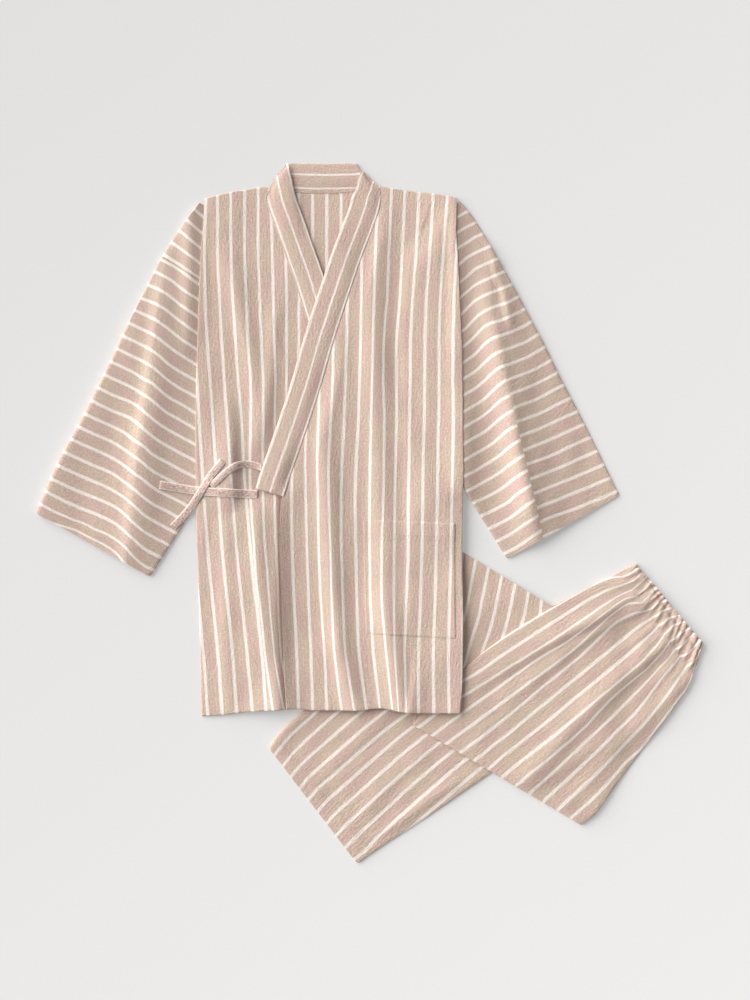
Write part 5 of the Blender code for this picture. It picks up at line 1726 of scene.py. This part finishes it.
# %% Sew the jacket
hem_row = int(np.argmin(np.abs(from_hem[:, 0] - FRONT_HEM + 1.5)))
overlap_edge = along_column(left_grid, 5)
overlap_edge = overlap_edge[overlap_edge[:, 1] < COLLAR_END - 6]
add_stitches("body_stitches", [along_row(left_grid, hem_row), overlap_edge, along_row(right_grid, hem_row)])
add_stitches("collar_stitches", [along_column(grid, -3) for grid in (right_collar, left_collar, back_collar)])
add_stitches("pocket_stitches", [along_column(pocket_grid, 3), along_column(pocket_grid, -4)]
             + [along_row(pocket_grid, row) for row in (-4, 9, 11)])


# %% Sew the hems of the legs and sleeves
def across_leg(edge, next_span, depth):
    """A path across a flat tube, at some depth from its edge."""
    edge, next_span = np.array(edge), np.array(next_span)
    run = (next_span - edge).reshape(2, 2).mean(0)
    x0, y0, x1, y1 = blend(edge, next_span, depth / np.hypot(*run))
    return [(blend(x0, x1, t), blend(y0, y1, t)) for t in np.linspace(0.02, 0.98, 25)]


FROM_FOLD = 2  # from the stitching to the turned edge inside a hem
HEMS = [(LOWER_LEG[0], LOWER_LEG[1], LEG_HEM), (TURNED_LEG[-1], TURNED_LEG[-2], LEG_HEM),
        (RIGHT_SLEEVE[-1], RIGHT_SLEEVE[-2], CUFF_HEM), (LEFT_SLEEVE[-1], LEFT_SLEEVE[-2], CUFF_HEM)]
add_stitches("hem_stitches", [across_leg(edge, inside, hem - FROM_FOLD) for edge, inside, hem in HEMS])

# %% [markdown]
# ## Table and light
# The set lies on a plain pale table.  Its material glows a little, a painted glow that keeps the shadows on
# it pale, and its colour is painted a little brighter toward the lower right.  Broad light comes from the
# left into a bright room.  It is low enough to model the folds, and large enough that their shadows stay
# soft.

# %% Table
PALE = (0.792, 0.788, 0.786)
TABLE_GLOW = 0.3  # share of the table's brightness that is a painted glow from its own surface, which keeps shadows on it pale
TABLE_HALF = 6  # half its width, in metres
TABLE_GRAIN = Grain(0.004, 0.004, 3.0)
TOWARD_PAINTED_LIGHT = (0.30, -0.42, 0)  # the table's colour is painted lighter this way, a painted brightening of the floor


def table_finish():
    w = Wiring("pale_table")
    place = w.node("TexCoord", out=3)
    grain = w.noise(place, TABLE_GRAIN)
    # painted light: the table's colour is made lighter toward the lower right and darker toward the upper
    # left
    painted_brightening = w.node("VectorMath", place, TOWARD_PAINTED_LIGHT, out=1, operation="DOT_PRODUCT")
    tone = w.ramp(painted_brightening, -0.5, 0.5, 0.925, 1.075, smooth=False)
    tone = w.math("MULTIPLY", tone, w.ramp(grain, 0.2, 0.8, 0.99, 1.01))
    tones = w.node("CombineXYZ", tone, tone, tone)
    # part of the pale colour goes into emission: a painted glow that keeps shadows on the table pale
    for socket, share in (("Base Color", 1 - TABLE_GLOW), ("Emission Color", TABLE_GLOW)):
        tint = w.node("VectorMath", [v * share for v in PALE], tones, operation="MULTIPLY")
        w.join(tint, w.shader.inputs[socket])
    w.shader.inputs["Emission Strength"].default_value = 1.0
    w.join(w.ramp(grain, 0.2, 0.8, 0.75, 0.9), w.shader.inputs["Roughness"])
    w.shader.inputs["Specular IOR Level"].default_value = 0.2
    return w.material


mesh = bpy.data.meshes.new("floor")
corners = [(TABLE_HALF * x, TABLE_HALF * y, 0) for x, y in ((-1, -1), (1, -1), (1, 1), (-1, 1))]
mesh.from_pydata(corners, [], [(0, 1, 2, 3)])
mesh.materials.append(table_finish())
floor = bpy.data.objects.new("floor", mesh)
bpy.context.scene.collection.objects.link(floor)
print("table", tuple(floor.dimensions))

# %% Light
ROOM_LIGHT = 0.35  # share of the light on the table that comes from all around
SUN_HEIGHT = radians(20.5)
SUN_BEARING = radians(150)  # from the left, and a little from above
SUN_WIDTH = radians(70)

world = bpy.data.worlds.new("room")
world.use_nodes = True
world.node_tree.nodes["Background"].inputs["Color"].default_value = (1.0, 0.995, 0.985, 1)
world.node_tree.nodes["Background"].inputs["Strength"].default_value = ROOM_LIGHT
bpy.context.scene.world = world
sun = bpy.data.objects.new("window_light", bpy.data.lights.new("window_light", "SUN"))
sun.data.energy = (1 - ROOM_LIGHT) * pi / sin(SUN_HEIGHT)
sun.data.angle = SUN_WIDTH
sun.data.color = (1.0, 0.99, 0.975)
toward_sun = Vector((cos(SUN_BEARING) * cos(SUN_HEIGHT), sin(SUN_BEARING) * cos(SUN_HEIGHT), sin(SUN_HEIGHT)))
sun.rotation_euler = toward_sun.to_track_quat("Z", "Y").to_euler()
bpy.context.scene.collection.objects.link(sun)
print("window light comes from", [round(v, 2) for v in toward_sun])
